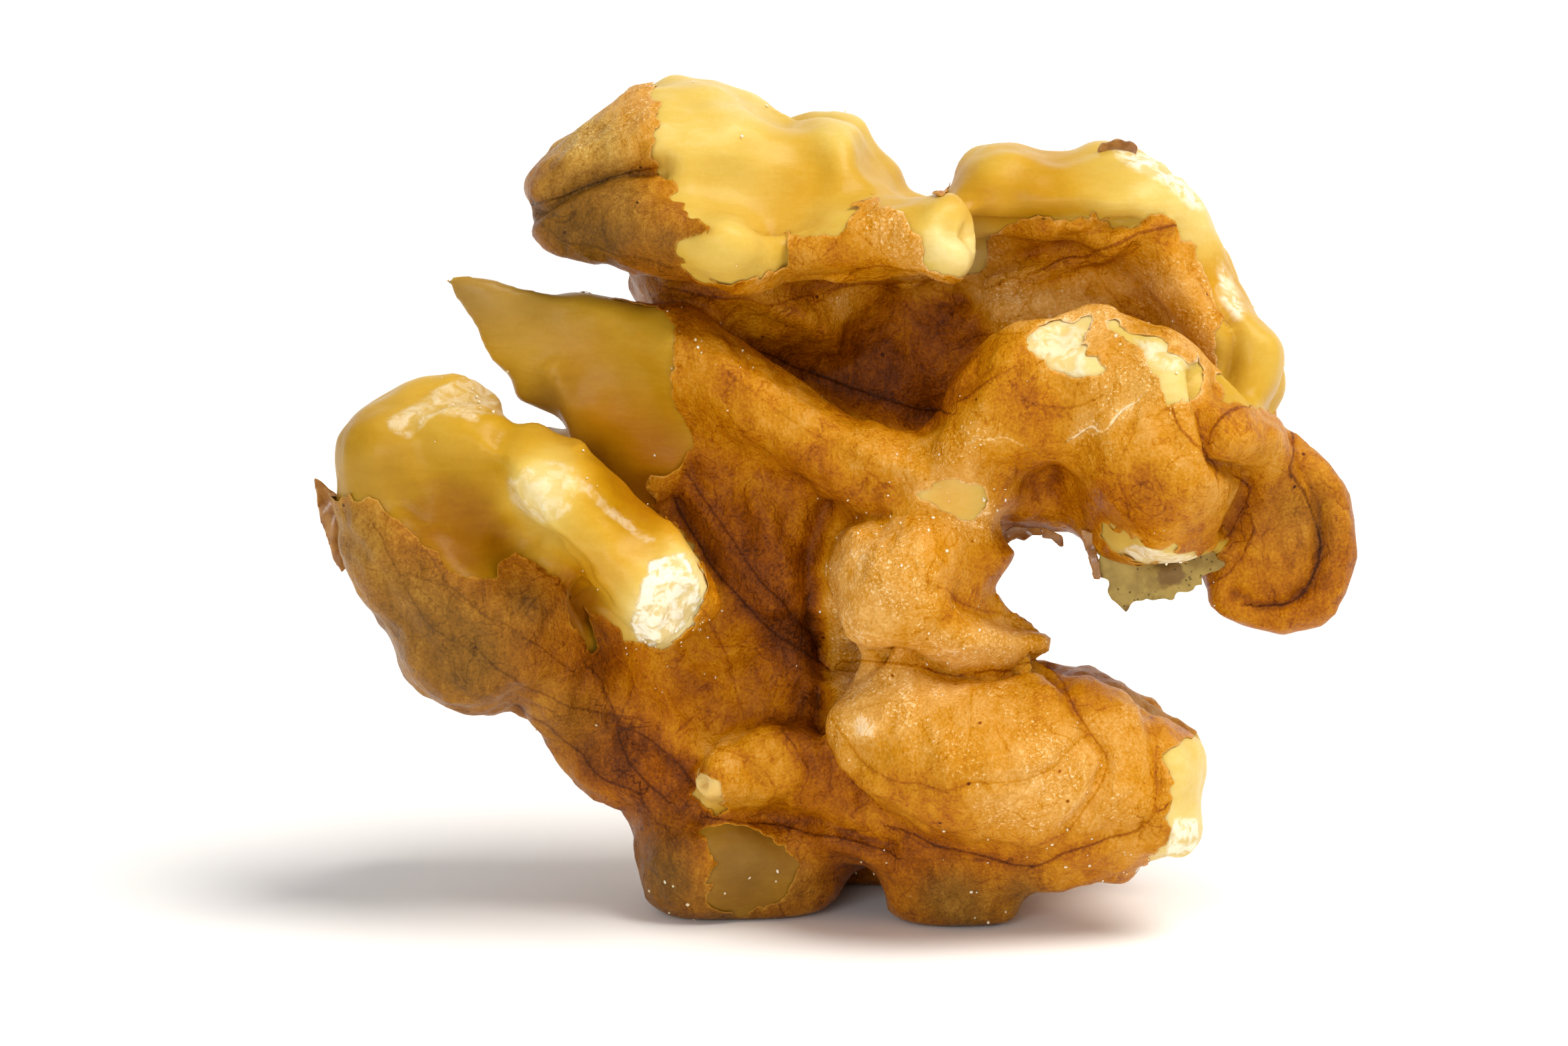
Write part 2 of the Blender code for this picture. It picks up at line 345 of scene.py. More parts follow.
def attributeOf(tree, name):
    return addNode(tree, "ShaderNodeAttribute", {"attribute_name": name}).outputs["Fac"]


def joined(tree, operation, a, b):
    node = addNode(tree, "ShaderNodeMath", {"operation": operation})
    for slot, value in enumerate((a, b)):
        if isinstance(value, (int, float)):
            node.inputs[slot].default_value = value
        else:
            tree.links.new(value, node.inputs[slot])
    return node.outputs[0]


def mixed(tree, share, a, b):
    node = addNode(tree, "ShaderNodeMix", {"data_type": "RGBA"})
    for slot, value in ((0, share), (6, a), (7, b)):
        if isinstance(value, str):
            node.inputs[slot].default_value = linearColour(value)
        elif isinstance(value, (int, float)):
            node.inputs[slot].default_value = value
        else:
            tree.links.new(value, node.inputs[slot])
    return node.outputs[2]


def ramped(tree, value, stops):
    # a colour for each value, through (place, colour) stops
    node = addNode(tree, "ShaderNodeValToRGB", links={"Fac": value})
    elements = node.color_ramp.elements
    while len(elements) < len(stops):
        elements.new(0.5)
    for element, (place, colour) in zip(elements, stops):
        element.position = place
        element.color = linearColour(colour)
    return node.outputs["Color"]


def summed(tree, parts):
    # the parts added up, each a value or (value, how strongly its swing about one half counts)
    total = None
    for part in parts:
        if isinstance(part, tuple):
            part = joined(tree, "MULTIPLY", joined(tree, "SUBTRACT", part[0], 0.5), part[1])
        total = part if total is None else joined(tree, "ADD", total, part)
    return total


def dotted(tree, place, spacing, channel, rim, shown, extra=None):
    # small dots at chance places, of which those show whose chance is high; the extra chance adds to it
    cell = addNode(tree, "ShaderNodeTexVoronoi", {"Scale": 1000 / spacing}, {"Vector": place})
    colours = addNode(tree, "ShaderNodeSeparateColor", links={"Color": cell.outputs["Color"]})
    chance = colours.outputs[channel]
    if extra:
        chance = joined(tree, "ADD", chance, extra)
    spot = ranged(tree, cell.outputs["Distance"], *rim)
    return joined(tree, "MULTIPLY", spot, ranged(tree, chance, *shown))


def bumped(tree, parts):
    # parts are (height, millimetres that it stands at one), laid over one another
    normal = None
    for height, depth in parts:
        links = {"Height": height}
        if normal:
            links["Normal"] = normal
        bump = addNode(tree, "ShaderNodeBump", {"Strength": 1.0, "Distance": depth * mm}, links)
        normal = bump.outputs["Normal"]
    return normal


fleshLook = {
    "clear": [(0.0, "#704300"), (0.2, "#966200"), (0.4, "#b0830c"), (0.6, "#c59a2c"), (0.8, "#d2b254"),
              (1.0, "#e2cf92")],
    "warm": [(0.0, "#6d3a00"), (0.3, "#a06000"), (0.6, "#c4880a"), (1.0, "#e6b458")],
    "dull": [(0.0, "#5f4214"), (0.3, "#8f6f33"), (0.6, "#a98a4a"), (1.0, "#d3c08d")],
    "chalk": ("#d8c184", "#f1e9d0"),
    "flecks": {"spacing": 10 / 9, "channel": 0, "rim": (0.12, 0.04), "shown": (0.86, 0.9)},
    "fleckColour": "#c08413",
    "roughness": (0.32, 0.75),  # waxy, then dry and broken
    "surface": {"Subsurface Weight": 0.35, "Subsurface Radius": (1.0, 0.75, 0.3),
                "Subsurface Scale": 0.8 * mm, "Specular IOR Level": 0.14},
}


def fleshMaterial():
    # waxy kernel flesh: pale yellow, amber in its depths and where painted shade fills creases and
    # hollows, dry and white where it broke
    material, tree, shader = newMaterial("kernel_flesh", fleshLook["surface"])
    place = objectPlace(tree)
    cloud = noiseAt(tree, place, 3.2, 3)
    fibre = noiseAt(tree, objectPlace(tree, (0.5, 1, 2.2)), 0.7, 5, 0.6, 0.4)
    fine = noiseAt(tree, place, 0.16, 4, 0.65)
    tone = summed(tree, [attributeOf(tree, "tone"), (cloud, 0.16), (fibre, 0.16), (fine, 0.1)])
    colour = ramped(tree, tone, fleshLook["clear"])
    colour = mixed(tree, attributeOf(tree, "dull"), colour, ramped(tree, tone, fleshLook["dull"]))
    colour = mixed(tree, attributeOf(tree, "warm"), colour, ramped(tree, tone, fleshLook["warm"]))
    rubble = noiseAt(tree, place, 0.45, 5, 0.55, 0.6)
    whiter = joined(tree, "ADD", attributeOf(tree, "chalk"), joined(tree, "MULTIPLY", rubble, 0.5))
    chalky = ranged(tree, whiter, 0.44, 1.15)
    crumbled = mixed(tree, ranged(tree, rubble, 0.38, 0.56), *fleshLook["chalk"])
    colour = mixed(tree, chalky, colour, crumbled)
    fleck = dotted(tree, place, **fleshLook["flecks"])
    colour = mixed(tree, joined(tree, "MULTIPLY", fleck, 0.5), colour, fleshLook["fleckColour"])
    tree.links.new(colour, shader.inputs["Base Color"])
    tree.links.new(ranged(tree, chalky, 0, 1, fleshLook["roughness"]), shader.inputs["Roughness"])
    broken = joined(tree, "MULTIPLY", rubble, chalky)
    tree.links.new(bumped(tree, [(fibre, 0.02), (fine, 0.008), (broken, 0.10)]), shader.inputs["Normal"])
    return material


skinLook = {
    "clear": [(0.0, "#481e00"), (0.15, "#6a3200"), (0.3, "#8e4a00"), (0.45, "#ad6600"), (0.6, "#c4820a"),
              (0.75, "#d0953f"), (0.88, "#e0aa58"), (1.0, "#f2cf9c")],
    "dull": [(0.0, "#3a220c"), (0.25, "#684410"), (0.45, "#8a5c1a"), (0.65, "#aa7c2e"), (0.85, "#c49c4c"),
             (1.0, "#dabd80")],
    "pebble": 0.16,  # millimetres across
    "pores": {"spacing": 0.8, "channel": 1, "rim": (0.11, 0.04), "shown": (0.76, 0.82)},
    "roughness": (0.24, 0.42),
    "surface": {"Specular IOR Level": 0.12},
}


def skinMaterial():
    # papery seed skin that clings to the flesh: amber, finely pebbled, veined and pored, with painted
    # shade darkening its creases and painted glints on its lighter parts
    material, tree, shader = newMaterial("kernel_skin", skinLook["surface"])
    place = objectPlace(tree)
    blotch = noiseAt(tree, place, 2.4, 4, 0.55, 0.5)
    mottle = noiseAt(tree, place, 0.6, 4, 0.6, 0.2)
    streak = noiseAt(tree, objectPlace(tree, (1.0, 0.6, 0.4)), 0.45, 4, 0.6, 0.8)
    grain = noiseAt(tree, place, 0.10, 3, 0.65)
    cells = addNode(tree, "ShaderNodeTexVoronoi", {"feature": "DISTANCE_TO_EDGE",
                                              "Scale": 1000 / skinLook["pebble"]},
                    {"Vector": place}).outputs["Distance"]
    zone = joined(tree, "MULTIPLY", ranged(tree, noiseAt(tree, place, 1.8, 3), 0.42, 0.6),
                  ranged(tree, attributeOf(tree, "tone"), 0.5, 0.8))
    web = noiseAt(tree, place, 1.9, 3, 0.5, 0.9)
    thread = ranged(tree, joined(tree, "ABSOLUTE", joined(tree, "SUBTRACT", web, 0.5), 0), 0.014, 0.0)
    net = joined(tree, "MULTIPLY", ranged(tree, cells, 0.12, 0.0), zone)
    # painted highlight: grains on the lighter skin turn light, standing for glints
    glint = joined(tree, "MULTIPLY", ranged(tree, grain, 0.58, 0.74), zone)
    wobble = joined(tree, "MULTIPLY", joined(tree, "SUBTRACT", mottle, 0.5), 0.14)
    # the vein lines also run along creases, where their darkness is painted shade
    aside = joined(tree, "ABSOLUTE", joined(tree, "ADD", attributeOf(tree, "vein_and_crease_shade_side"), wobble), 0)
    worn = joined(tree, "MULTIPLY", attributeOf(tree, "vein_and_crease_shade_strength"),
                  ranged(tree, streak, 0.3, 0.6, (0.45, 1)))
    vein = joined(tree, "MULTIPLY", ranged(tree, aside, 0.065, 0.012), worn)
    shade = joined(tree, "MULTIPLY", ranged(tree, aside, 0.34, 0.0), worn)
    edge = joined(tree, "ADD", attributeOf(tree, "edge"), ranged(tree, grain, 0.3, 0.7, (-0.06, 0.06)))
    pored = dotted(tree, place, **skinLook["pores"], extra=attributeOf(tree, "speck"))
    tone = summed(tree, [attributeOf(tree, "tone"),
                         (blotch, 0.34), (mottle, 0.3), (streak, 0.42), (grain, 0.5),
                         joined(tree, "MULTIPLY", net, -0.16), joined(tree, "MULTIPLY", glint, 0.62),
                         joined(tree, "MULTIPLY", vein, -0.36), joined(tree, "MULTIPLY", shade, -0.14),
                         joined(tree, "MULTIPLY", thread, -0.12), ranged(tree, edge, 0.08, 0.02, (0, 0.2)),
                         joined(tree, "MULTIPLY", pored, -0.45)])
    colour = mixed(tree, attributeOf(tree, "dull"), ramped(tree, tone, skinLook["clear"]),
                   ramped(tree, tone, skinLook["dull"]))
    tree.links.new(colour, shader.inputs["Base Color"])
    tree.links.new(ranged(tree, mottle, 0.3, 0.7, skinLook["roughness"]), shader.inputs["Roughness"])
    heights = [(streak, 0.08), (mottle, 0.09), (grain, 0.05), (cells, 0.02), (vein, 0.04)]
    tree.links.new(bumped(tree, heights), shader.inputs["Normal"])
    return material


huskLook = {
    "colours": ("#83692a", "#ab9248"),
    "stainColour": "#6a4a1c",
    "pores": {"spacing": 0.17, "channel": 0, "rim": (0.25, 0.12), "shown": (0.45, 0.55)},
    "poreColour": "#4a3512",
    "surface": {"Roughness": 0.7},
}


def huskMaterial():
    # dry papery husk: straw and olive, with dark pores and brown stains here and there
    material, tree, shader = newMaterial("husk_flake", huskLook["surface"])
    place = objectPlace(tree)
    colour = mixed(tree, ranged(tree, noiseAt(tree, place, 0.9, 5), 0.35, 0.65), *huskLook["colours"])
    browned = ranged(tree, noiseAt(tree, place, 1.6, 4), 0.52, 0.62, (0, 0.85))
    colour = mixed(tree, browned, colour, huskLook["stainColour"])
    pored = dotted(tree, place, **huskLook["pores"])
    colour = mixed(tree, joined(tree, "MULTIPLY", pored, 0.75), colour, huskLook["poreColour"])
    tree.links.new(colour, shader.inputs["Base Color"])
    heights = [(pored, -0.03), (noiseAt(tree, place, 0.3, 4), 0.06)]
    tree.links.new(bumped(tree, heights), shader.inputs["Normal"])
    return material


def plainMaterial(name, light, dark, size, roughness, glow=0.2):
    # one soft colour that clouds into a darker one: crumbs of flesh, and loose bits of skin
    material, tree, shader = newMaterial(name, {
        "Roughness": roughness, "Subsurface Weight": glow, "Subsurface Radius": (1.0, 0.6, 0.3),
        "Subsurface Scale": 0.3 * mm})
    cloud = noiseAt(tree, objectPlace(tree), size, 5)
    tree.links.new(mixed(tree, ranged(tree, cloud, 0.35, 0.65), dark, light), shader.inputs["Base Color"])
    tree.links.new(bumped(tree, [(cloud, 0.05)]), shader.inputs["Normal"])
    return material


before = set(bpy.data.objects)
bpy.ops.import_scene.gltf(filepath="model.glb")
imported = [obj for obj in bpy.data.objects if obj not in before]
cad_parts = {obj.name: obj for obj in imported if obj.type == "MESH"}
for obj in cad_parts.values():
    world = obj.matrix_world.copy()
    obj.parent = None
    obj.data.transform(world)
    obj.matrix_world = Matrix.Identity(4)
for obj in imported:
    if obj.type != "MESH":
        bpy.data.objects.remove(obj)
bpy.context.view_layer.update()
print("loaded the frame")


# The kernel's flesh: the solid's own surface, finer, with the small folds that the photograph shows

flesh = {
    "voxel": 0.215,
    "smoothing": 7,
    "swells": ((2.4, 0.045, 21), (1.1, 0.018, 22)),
    "brokenSwell": (0.8, 0.05, 31),
    "broadSteps": 40,
    "narrowSteps": 8,
}

# Small folds and creases of the inner side: millimetres it stands out, half width, its line in pixels
strokes = {
    "upperLeftCrease": (-0.6, 0.32, [(796, 322), (850, 286), (900, 264), (950, 250), (994, 243)]),
    "upperLeftLowFold": (0.3, 1.0, [(850, 345), (930, 322), (1010, 330)]),
    "upperLeftValley": (-0.55, 0.95, [(1000, 264), (1060, 288), (1130, 306), (1190, 328)]),
    "upperLeftKnob": (0.35, 0.9, [(1095, 338), (1128, 386)]),
    "upperLeftKnobSide": (-0.22, 0.35, [(1160, 326), (1184, 356), (1180, 402)]),
    "upperLeftDip": (-0.28, 1.2, [(1196, 190), (1202, 250), (1196, 312)]),
    "upperLeftHollow": (-0.2, 1.0, [(1240, 262), (1300, 286), (1362, 300)]),
    "rightRimGroove": (-0.5, 0.5, [(1430, 338), (1500, 352), (1600, 328), (1700, 345), (1765, 338),
                                   (1800, 400), (1845, 480), (1835, 590)]),
    "rightWallFold": (0.45, 0.28, [(1491, 424), (1560, 402), (1640, 377), (1700, 354), (1755, 337)]),
    "rightWallAboveFold": (-0.35, 0.3, [(1480, 402), (1560, 380), (1640, 356), (1700, 334)]),
    "rightWallCrease": (-0.25, 0.4, [(1440, 442), (1540, 432), (1640, 440), (1722, 480)]),
    "rightWallLow": (0.25, 0.5, [(1480, 462), (1580, 450), (1660, 470)]),
    "cavityLip": (0.35, 0.45, [(1000, 430), (1100, 442), (1200, 470), (1262, 520)]),
    "cavityFold": (-0.38, 0.4, [(1180, 440), (1280, 428), (1400, 440), (1470, 470)]),
    "cavityFoot": (-0.25, 0.45, [(1100, 500), (1200, 560), (1330, 612), (1424, 640)]),
    "fanCrest": (0.3, 0.4, [(1010, 510), (1100, 560), (1200, 620), (1300, 680), (1380, 712)]),
    "fanHollow": (-0.2, 1.6, [(900, 566), (1000, 626), (1100, 690)]),
    "fanFacet": (0.22, 0.3, [(826, 556), (856, 620), (872, 668)]),
    "wallCrease": (-0.26, 0.36, [(1012, 750), (1060, 830), (1110, 900), (1180, 960), (1240, 1005)]),
    "wallCreaseTwo": (-0.16, 0.26, [(1030, 705), (1090, 800), (1150, 880), (1210, 950)]),
    "wallFold": (0.28, 0.45, [(996, 800), (1042, 880), (1090, 956), (1112, 1040)]),
    "wallFoldTwo": (0.25, 0.4, [(1130, 740), (1170, 830), (1222, 910)]),
    "wallFoldThree": (0.2, 0.3, [(1060, 760), (1110, 840), (1170, 910)]),
    "wallStep": (-0.08, 0.5, [(1180, 770), (1230, 764), (1280, 772), (1320, 780)]),
    "wallStepAbove": (0.15, 0.3, [(1200, 738), (1260, 740), (1330, 752)]),
    "besideBulge": (-0.5, 0.36, [(1236, 762), (1212, 836), (1216, 920), (1234, 996)]),
    "leftKnobStep": (-0.25, 0.4, [(748, 660), (744, 738), (790, 800), (850, 822), (874, 852)]),
    "logUnderside": (-0.45, 0.5, [(760, 800), (840, 860), (888, 908)]),
    "leftValley": (-0.45, 1.0, [(596, 756), (680, 800), (762, 832)]),
    "leftTopBump": (0.22, 0.5, [(616, 592), (706, 574)]),
    "leftWrinkle": (-0.14, 0.24, [(500, 780), (560, 850), (620, 950), (690, 1040)]),
    "leftWrinkleTwo": (-0.12, 0.24, [(600, 822), (652, 900), (724, 962)]),
    "lowFlankFold": (-0.35, 0.5, [(780, 1060), (830, 1040), (900, 1060), (980, 1122), (1040, 1172)]),
    "lowFlankFoldTwo": (0.25, 0.5, [(800, 1096), (872, 1150), (934, 1190)]),
    "knobAbove": (-0.42, 0.35, [(1038, 1134), (1060, 1108), (1100, 1084), (1160, 1070), (1232, 1076)]),
    "knobBelow": (-0.48, 0.4, [(1052, 1228), (1130, 1228), (1230, 1242), (1330, 1270)]),
    "knobGroove": (-0.2, 0.25, [(1100, 1110), (1130, 1162), (1172, 1200)]),
    "knobRidge": (0.16, 0.25, [(1180, 1102), (1190, 1160), (1162, 1190)]),
    "bulgeLeft": (0.42, 0.5, [(1290, 812), (1268, 850), (1262, 900), (1272, 950)]),
    "lobeLeftGroove": (-0.42, 0.26, [(1226, 1036), (1226, 1090), (1246, 1150), (1292, 1200)]),
    "lobeLeftEdge": (0.22, 0.35, [(1262, 1020), (1254, 1080), (1276, 1140), (1320, 1180)]),
    "bulgeCrease": (-0.7, 0.22, [(1246, 975), (1262, 988), (1300, 990), (1351, 995), (1419, 1011),
                                 (1487, 1005), (1570, 986)]),
    "bulgeCreaseSide": (-0.3, 0.7, [(1246, 975), (1300, 990), (1419, 1011), (1520, 1000)]),
    "noseHollow": (-0.42, 0.5, [(1446, 900), (1480, 912), (1520, 922), (1550, 930)]),
    "bulgeHollow": (-0.3, 0.9, [(1480, 820), (1474, 860), (1470, 890)]),
    "nose": (0.32, 0.4, [(1430, 960), (1500, 962), (1562, 966)]),
    "bulgeTopEdge": (-0.15, 0.22, [(1250, 800), (1290, 778), (1340, 770), (1400, 766)]),
    "lobeVeinGroove": (-0.14, 0.22, [(1260, 1110), (1330, 1165), (1450, 1175), (1560, 1160),
                                     (1620, 1110)]),
    "lobeBackGroove": (-0.42, 0.3, [(1572, 995), (1603, 1042), (1628, 1092), (1658, 1130), (1656, 1165),
                                    (1634, 1204), (1597, 1247)]),
    "lobeBackEdge": (-0.25, 0.25, [(1716, 1060), (1732, 1110), (1734, 1190), (1716, 1240)]),
    "lobeMiddle": (0.25, 1.3, [(1380, 1120), (1480, 1110), (1560, 1080)]),
    "underLobe": (-0.25, 0.32, [(1300, 1202), (1360, 1240), (1460, 1268), (1552, 1288), (1614, 1268),
                                (1716, 1246)]),
    "archRecess": (-0.3, 0.5, [(1480, 700), (1540, 722), (1600, 770), (1640, 802)]),
    "archRightGroove": (-0.7, 0.32, [(1796, 556), (1812, 640), (1830, 692), (1874, 724), (1866, 764),
                                     (1846, 806)]),
    "discGroove": (-0.36, 0.3, [(1940, 640), (1966, 722), (1980, 800), (1960, 880), (1900, 912),
                                (1850, 890)]),
    "discMiddle": (0.22, 0.8, [(1896, 820), (1906, 844)]),
    "rightKnobTop": (0.25, 0.6, [(1866, 664), (1896, 660)]),
}

# Where the skin has come off the inner side, as outlines in pixels
bareAreas = {
    "upperLeft": [(976, 60), (978, 124), (981, 148), (991, 186), (967, 205), (984, 216), (970, 235),
                  (991, 241), (967, 248), (986, 261), (1018, 278), (1008, 296), (1029, 315), (1051, 337),
                  (1069, 352), (1029, 358), (1013, 377), (1024, 396), (1043, 418), (1078, 427),
                  (1104, 424), (1137, 418), (1150, 407), (1180, 402), (1179, 361), (1218, 353),
                  (1255, 353), (1271, 337), (1277, 315), (1304, 299), (1325, 315), (1352, 331),
                  (1379, 353), (1390, 369), (1385, 396), (1410, 408), (1443, 417), (1480, 400),
                  (1490, 330), (1440, 292), (1400, 296), (1380, 60)],
    "upperRight": [(1436, 330), (1420, 290), (1432, 238), (1446, 160), (1990, 160), (2010, 600),
                   (1903, 618), (1842, 604), (1826, 571), (1820, 513), (1834, 470), (1808, 420),
                   (1786, 366), (1764, 340), (1740, 318), (1700, 344), (1672, 338), (1640, 318),
                   (1600, 330), (1560, 322), (1500, 345), (1470, 342)],
    "fan": [(640, 370), (900, 440), (1000, 470), (1014, 505), (1010, 540), (1006, 585), (1029, 633),
            (1045, 662), (1018, 710), (1000, 712), (981, 721), (984, 742), (991, 764), (1010, 786),
            (1029, 807), (900, 860), (800, 620), (640, 470)],
    "leftLobe": [(452, 540), (560, 500), (800, 540), (860, 640), (960, 720), (1024, 800), (1046, 827),
                 (1058, 875), (1040, 930), (1004, 972), (962, 964), (940, 958), (914, 936), (886, 922),
                 (870, 905), (884, 945), (896, 964), (876, 983), (854, 934), (852, 897), (841, 864),
                 (817, 854), (790, 838), (763, 824), (750, 843), (741, 864), (720, 872), (688, 859),
                 (655, 832), (628, 811), (596, 784), (569, 751), (556, 743), (510, 749), (488, 730),
                 (468, 716)],
    "knob": [(1043, 1150), (1060, 1160), (1085, 1190), (1085, 1215), (1060, 1216), (1038, 1190)],
    "leftFoot": [(1060, 1246), (1085, 1236), (1127, 1240), (1176, 1268), (1200, 1300), (1170, 1346),
                 (1110, 1372), (1060, 1352), (1066, 1320), (1075, 1300), (1056, 1273)],
    "lobeEnd": [(1742, 1133), (1753, 1160), (1747, 1200), (1748, 1227), (1760, 1243), (1752, 1267),
                (1700, 1304), (1690, 1330), (1850, 1310), (1850, 1080), (1790, 1100), (1760, 1118)],
    "junction": [(1368, 732), (1400, 722), (1432, 720), (1464, 725), (1479, 743), (1474, 764),
                 (1458, 788), (1427, 770), (1401, 754), (1378, 749)],
    "archLeft": [(1537, 508), (1553, 492), (1600, 477), (1641, 474), (1631, 498), (1631, 534),
                 (1652, 545), (1647, 571), (1636, 566), (1605, 566), (1579, 552), (1553, 534)],
    "archRight": [(1652, 477), (1694, 498), (1746, 513), (1777, 534), (1804, 555), (1798, 597),
                  (1762, 602), (1746, 613), (1741, 571), (1715, 539), (1694, 513)],
    "archUnder": [(1657, 780), (1694, 801), (1746, 822), (1798, 827), (1840, 811), (1814, 842),
                  (1767, 850), (1715, 847), (1673, 829), (1649, 806)],
}

# Where it is bare behind, and how its torn edges wander: swells as millimetres apart, strength and seed
bareBehind = {"swells": ((9.0, 1.0, 41), (4.0, 0.5, 42)), "above": 1.35, "slope": 1.2}
tornSwells = ((0.9, 0.07, 43), (0.45, 0.045, 44))

# Broken flesh, dry and white: how white, over how many millimetres it fades in, and its outline in pixels
chalkAreas = {
    "leftKnob": (0.42, 0.35, [(757, 719), (784, 698), (828, 687), (865, 698), (871, 735), (854, 773),
                              (817, 789), (784, 773), (763, 751)]),
    "logEnd": (0.95, 0.12, [(978, 838), (1021, 829), (1048, 864), (1050, 907), (1021, 944), (983, 969),
                            (957, 967), (946, 934), (957, 891)]),
    "leftTop": (0.45, 0.3, [(574, 628), (617, 606), (655, 579), (693, 560), (752, 575), (757, 606),
                            (730, 617), (720, 636), (655, 622), (617, 660), (585, 649)]),
    "logRidge": (0.4, 0.2, [(865, 698), (882, 720), (930, 768), (988, 812), (970, 818), (908, 772),
                            (860, 726)]),
    "archLeft": (0.5, 0.3, [(1537, 508), (1553, 492), (1600, 477), (1631, 498), (1631, 534), (1636, 566),
                            (1605, 566), (1579, 552), (1553, 534)]),
    "archRight": (0.5, 0.3, [(1694, 500), (1746, 513), (1777, 534), (1790, 555), (1746, 560),
                             (1715, 539)]),
    "archUnder": (0.6, 0.15, [(1715, 845), (1673, 827), (1700, 815), (1760, 830), (1814, 832),
                              (1767, 850)]),
    "lobeEnd": (0.8, 0.15, [(1760, 1230), (1792, 1222), (1806, 1260), (1770, 1296), (1745, 1285)]),
    "rightRim": (0.75, 0.6, [(1660, 222), (1735, 226), (1776, 262), (1812, 312), (1790, 318), (1745, 276),
                             (1690, 250)]),
    "rightRimLow": (0.75, 0.6, [(1826, 385), (1856, 430), (1870, 476), (1850, 480), (1824, 440)]),
}

# Paint on the flesh, as soft spots: x, y, radius in pixels, then the tone there or how strong it is;
# partly the flesh's own colour, partly painted light and shade, with paler tops (painted highlight) and
# warm amber on lower and hollow faces (painted shade)
fleshPaint = {
    "tone": [(1060, 180, 70, 0.82), (1150, 250, 50, 0.74), (1200, 262, 40, 0.55), (1110, 150, 40, 0.9),
             (1190, 310, 40, 0.66), (1270, 190, 40, 0.8), (1290, 250, 40, 0.6), (1340, 300, 40, 0.62),
             (1030, 270, 50, 0.74), (1100, 390, 50, 0.72), (1230, 340, 40, 0.72), (1440, 350, 40, 0.92),
             (1500, 230, 50, 0.62), (1560, 280, 50, 0.45), (1650, 250, 50, 0.7), (1720, 260, 40, 0.85),
             (1780, 330, 40, 0.85), (1850, 470, 50, 0.62), (1870, 570, 50, 0.58), (1460, 300, 40, 0.5),
             (700, 430, 50, 0.28), (780, 450, 60, 0.36), (860, 520, 60, 0.45), (960, 680, 50, 0.34),
             (950, 600, 40, 0.4), (890, 580, 50, 0.46), (980, 500, 50, 0.42), (830, 590, 36, 0.3),
             (940, 740, 50, 0.3), (560, 690, 60, 0.36), (620, 600, 50, 0.6), (500, 650, 40, 0.32),
             (680, 800, 60, 0.16), (740, 640, 50, 0.45), (815, 740, 44, 0.92), (930, 850, 50, 0.62),
             (880, 780, 40, 0.6), (1000, 900, 50, 1.0), (866, 900, 34, 0.3), (1110, 1300, 80, 0.16),
             (1450, 1340, 70, 0.18), (1780, 1180, 50, 0.85), (1760, 1250, 40, 0.9),
             (1065, 1180, 40, 0.95), (1420, 750, 50, 0.85), (1590, 520, 60, 0.95), (1740, 550, 60, 0.85),
             (1700, 830, 60, 0.8)],
    "warm": [(1420, 750, 50, 0.8), (1065, 1185, 40, 0.6), (1590, 520, 50, 0.3), (970, 660, 80, 0.8),
             (890, 620, 50, 0.6), (860, 530, 50, 0.3), (1010, 740, 60, 1.0), (690, 812, 60, 0.3),
             (850, 930, 46, 1.0), (872, 862, 40, 0.6), (1196, 300, 60, 0.35), (1560, 290, 60, 0.4),
             (930, 850, 40, 0.3), (1800, 440, 60, 0.8), (1470, 310, 40, 0.4)],
    "dull": [(1110, 1300, 90, 0.7), (1460, 1340, 80, 0.7), (700, 430, 80, 0.8), (800, 450, 60, 0.4),
             (540, 720, 60, 0.3), (830, 600, 40, 0.6), (1780, 870, 60, 0.3), (600, 620, 60, 0.25)],
}


# Places where the outline is drawn to the photograph's: x, y, how far right and down, then the radius
nudges = {
    "fanTip": [(698, 428, -24, -14, 46), (742, 520, -14, 10, 46), (800, 586, -20, 12, 34)],
    "fanTop": [(790, 446, 0, -12, 60), (862, 458, 0, -24, 70)],
    "leftLobe": [(745, 602, 22, -8, 32), (800, 648, 4, -14, 26), (566, 948, 24, -14, 60),
                 (776, 1090, 4, -22, 44)],
    "lowLeft": [(915, 1228, 18, -18, 42)],
    "upperLeft": [(1085, 128, 0, -10, 40), (1222, 181, 0, -13, 40), (1335, 215, -24, 24, 48),
                  (1374, 262, -12, 12, 30), (888, 165, 5, 6, 40)],
    "upperRight": [(1600, 214, 0, 12, 50), (1765, 246, -10, 9, 44), (1856, 366, 9, -3, 28),
                   (1908, 518, 24, -6, 44), (1916, 612, -18, 6, 26)],
    "notch": [(1490, 834, 42, 0, 32), (1574, 990, -28, 0, 17), (1606, 994, 0, 7, 22)],
    "lobeEnd": [(1802, 1106, 14, -8, 34), (1814, 1212, -20, -6, 46), (1720, 1318, -6, -16, 50),
                (1640, 1336, 0, -14, 40)],
}


def denseSurface(node):
    # a finer, evenly meshed copy of the solid's surface, as points and triangles
    piece = bpy.data.objects.new("dense", node.data.copy())
    bpy.context.scene.collection.objects.link(piece)
    mesh = bmesh.new()
    mesh.from_mesh(piece.data)
    bmesh.ops.remove_doubles(mesh, verts=mesh.verts, dist=0.001 * mm)
    mesh.to_mesh(piece.data)
    mesh.free()
    divided = piece.modifiers.new("divide", "SUBSURF")
    divided.levels = divided.render_levels = 1
    remesh = piece.modifiers.new("even", "REMESH")
    remesh.mode = "VOXEL"
    remesh.voxel_size = flesh["voxel"] * mm
    soften = piece.modifiers.new("soften", "SMOOTH")
    soften.factor = 0.5
    soften.iterations = flesh["smoothing"]
    baked(piece)
    points, triangles = pointsOf(piece.data), trianglesOf(piece.data)
    bpy.data.objects.remove(piece)
    return points, triangles


def whiteness(pixels):
    return np.max([white * eased(-fade / 2, fade / 2, insideBy(pixels, area))
                   for white, fade, area in chalkAreas.values()], axis=0)


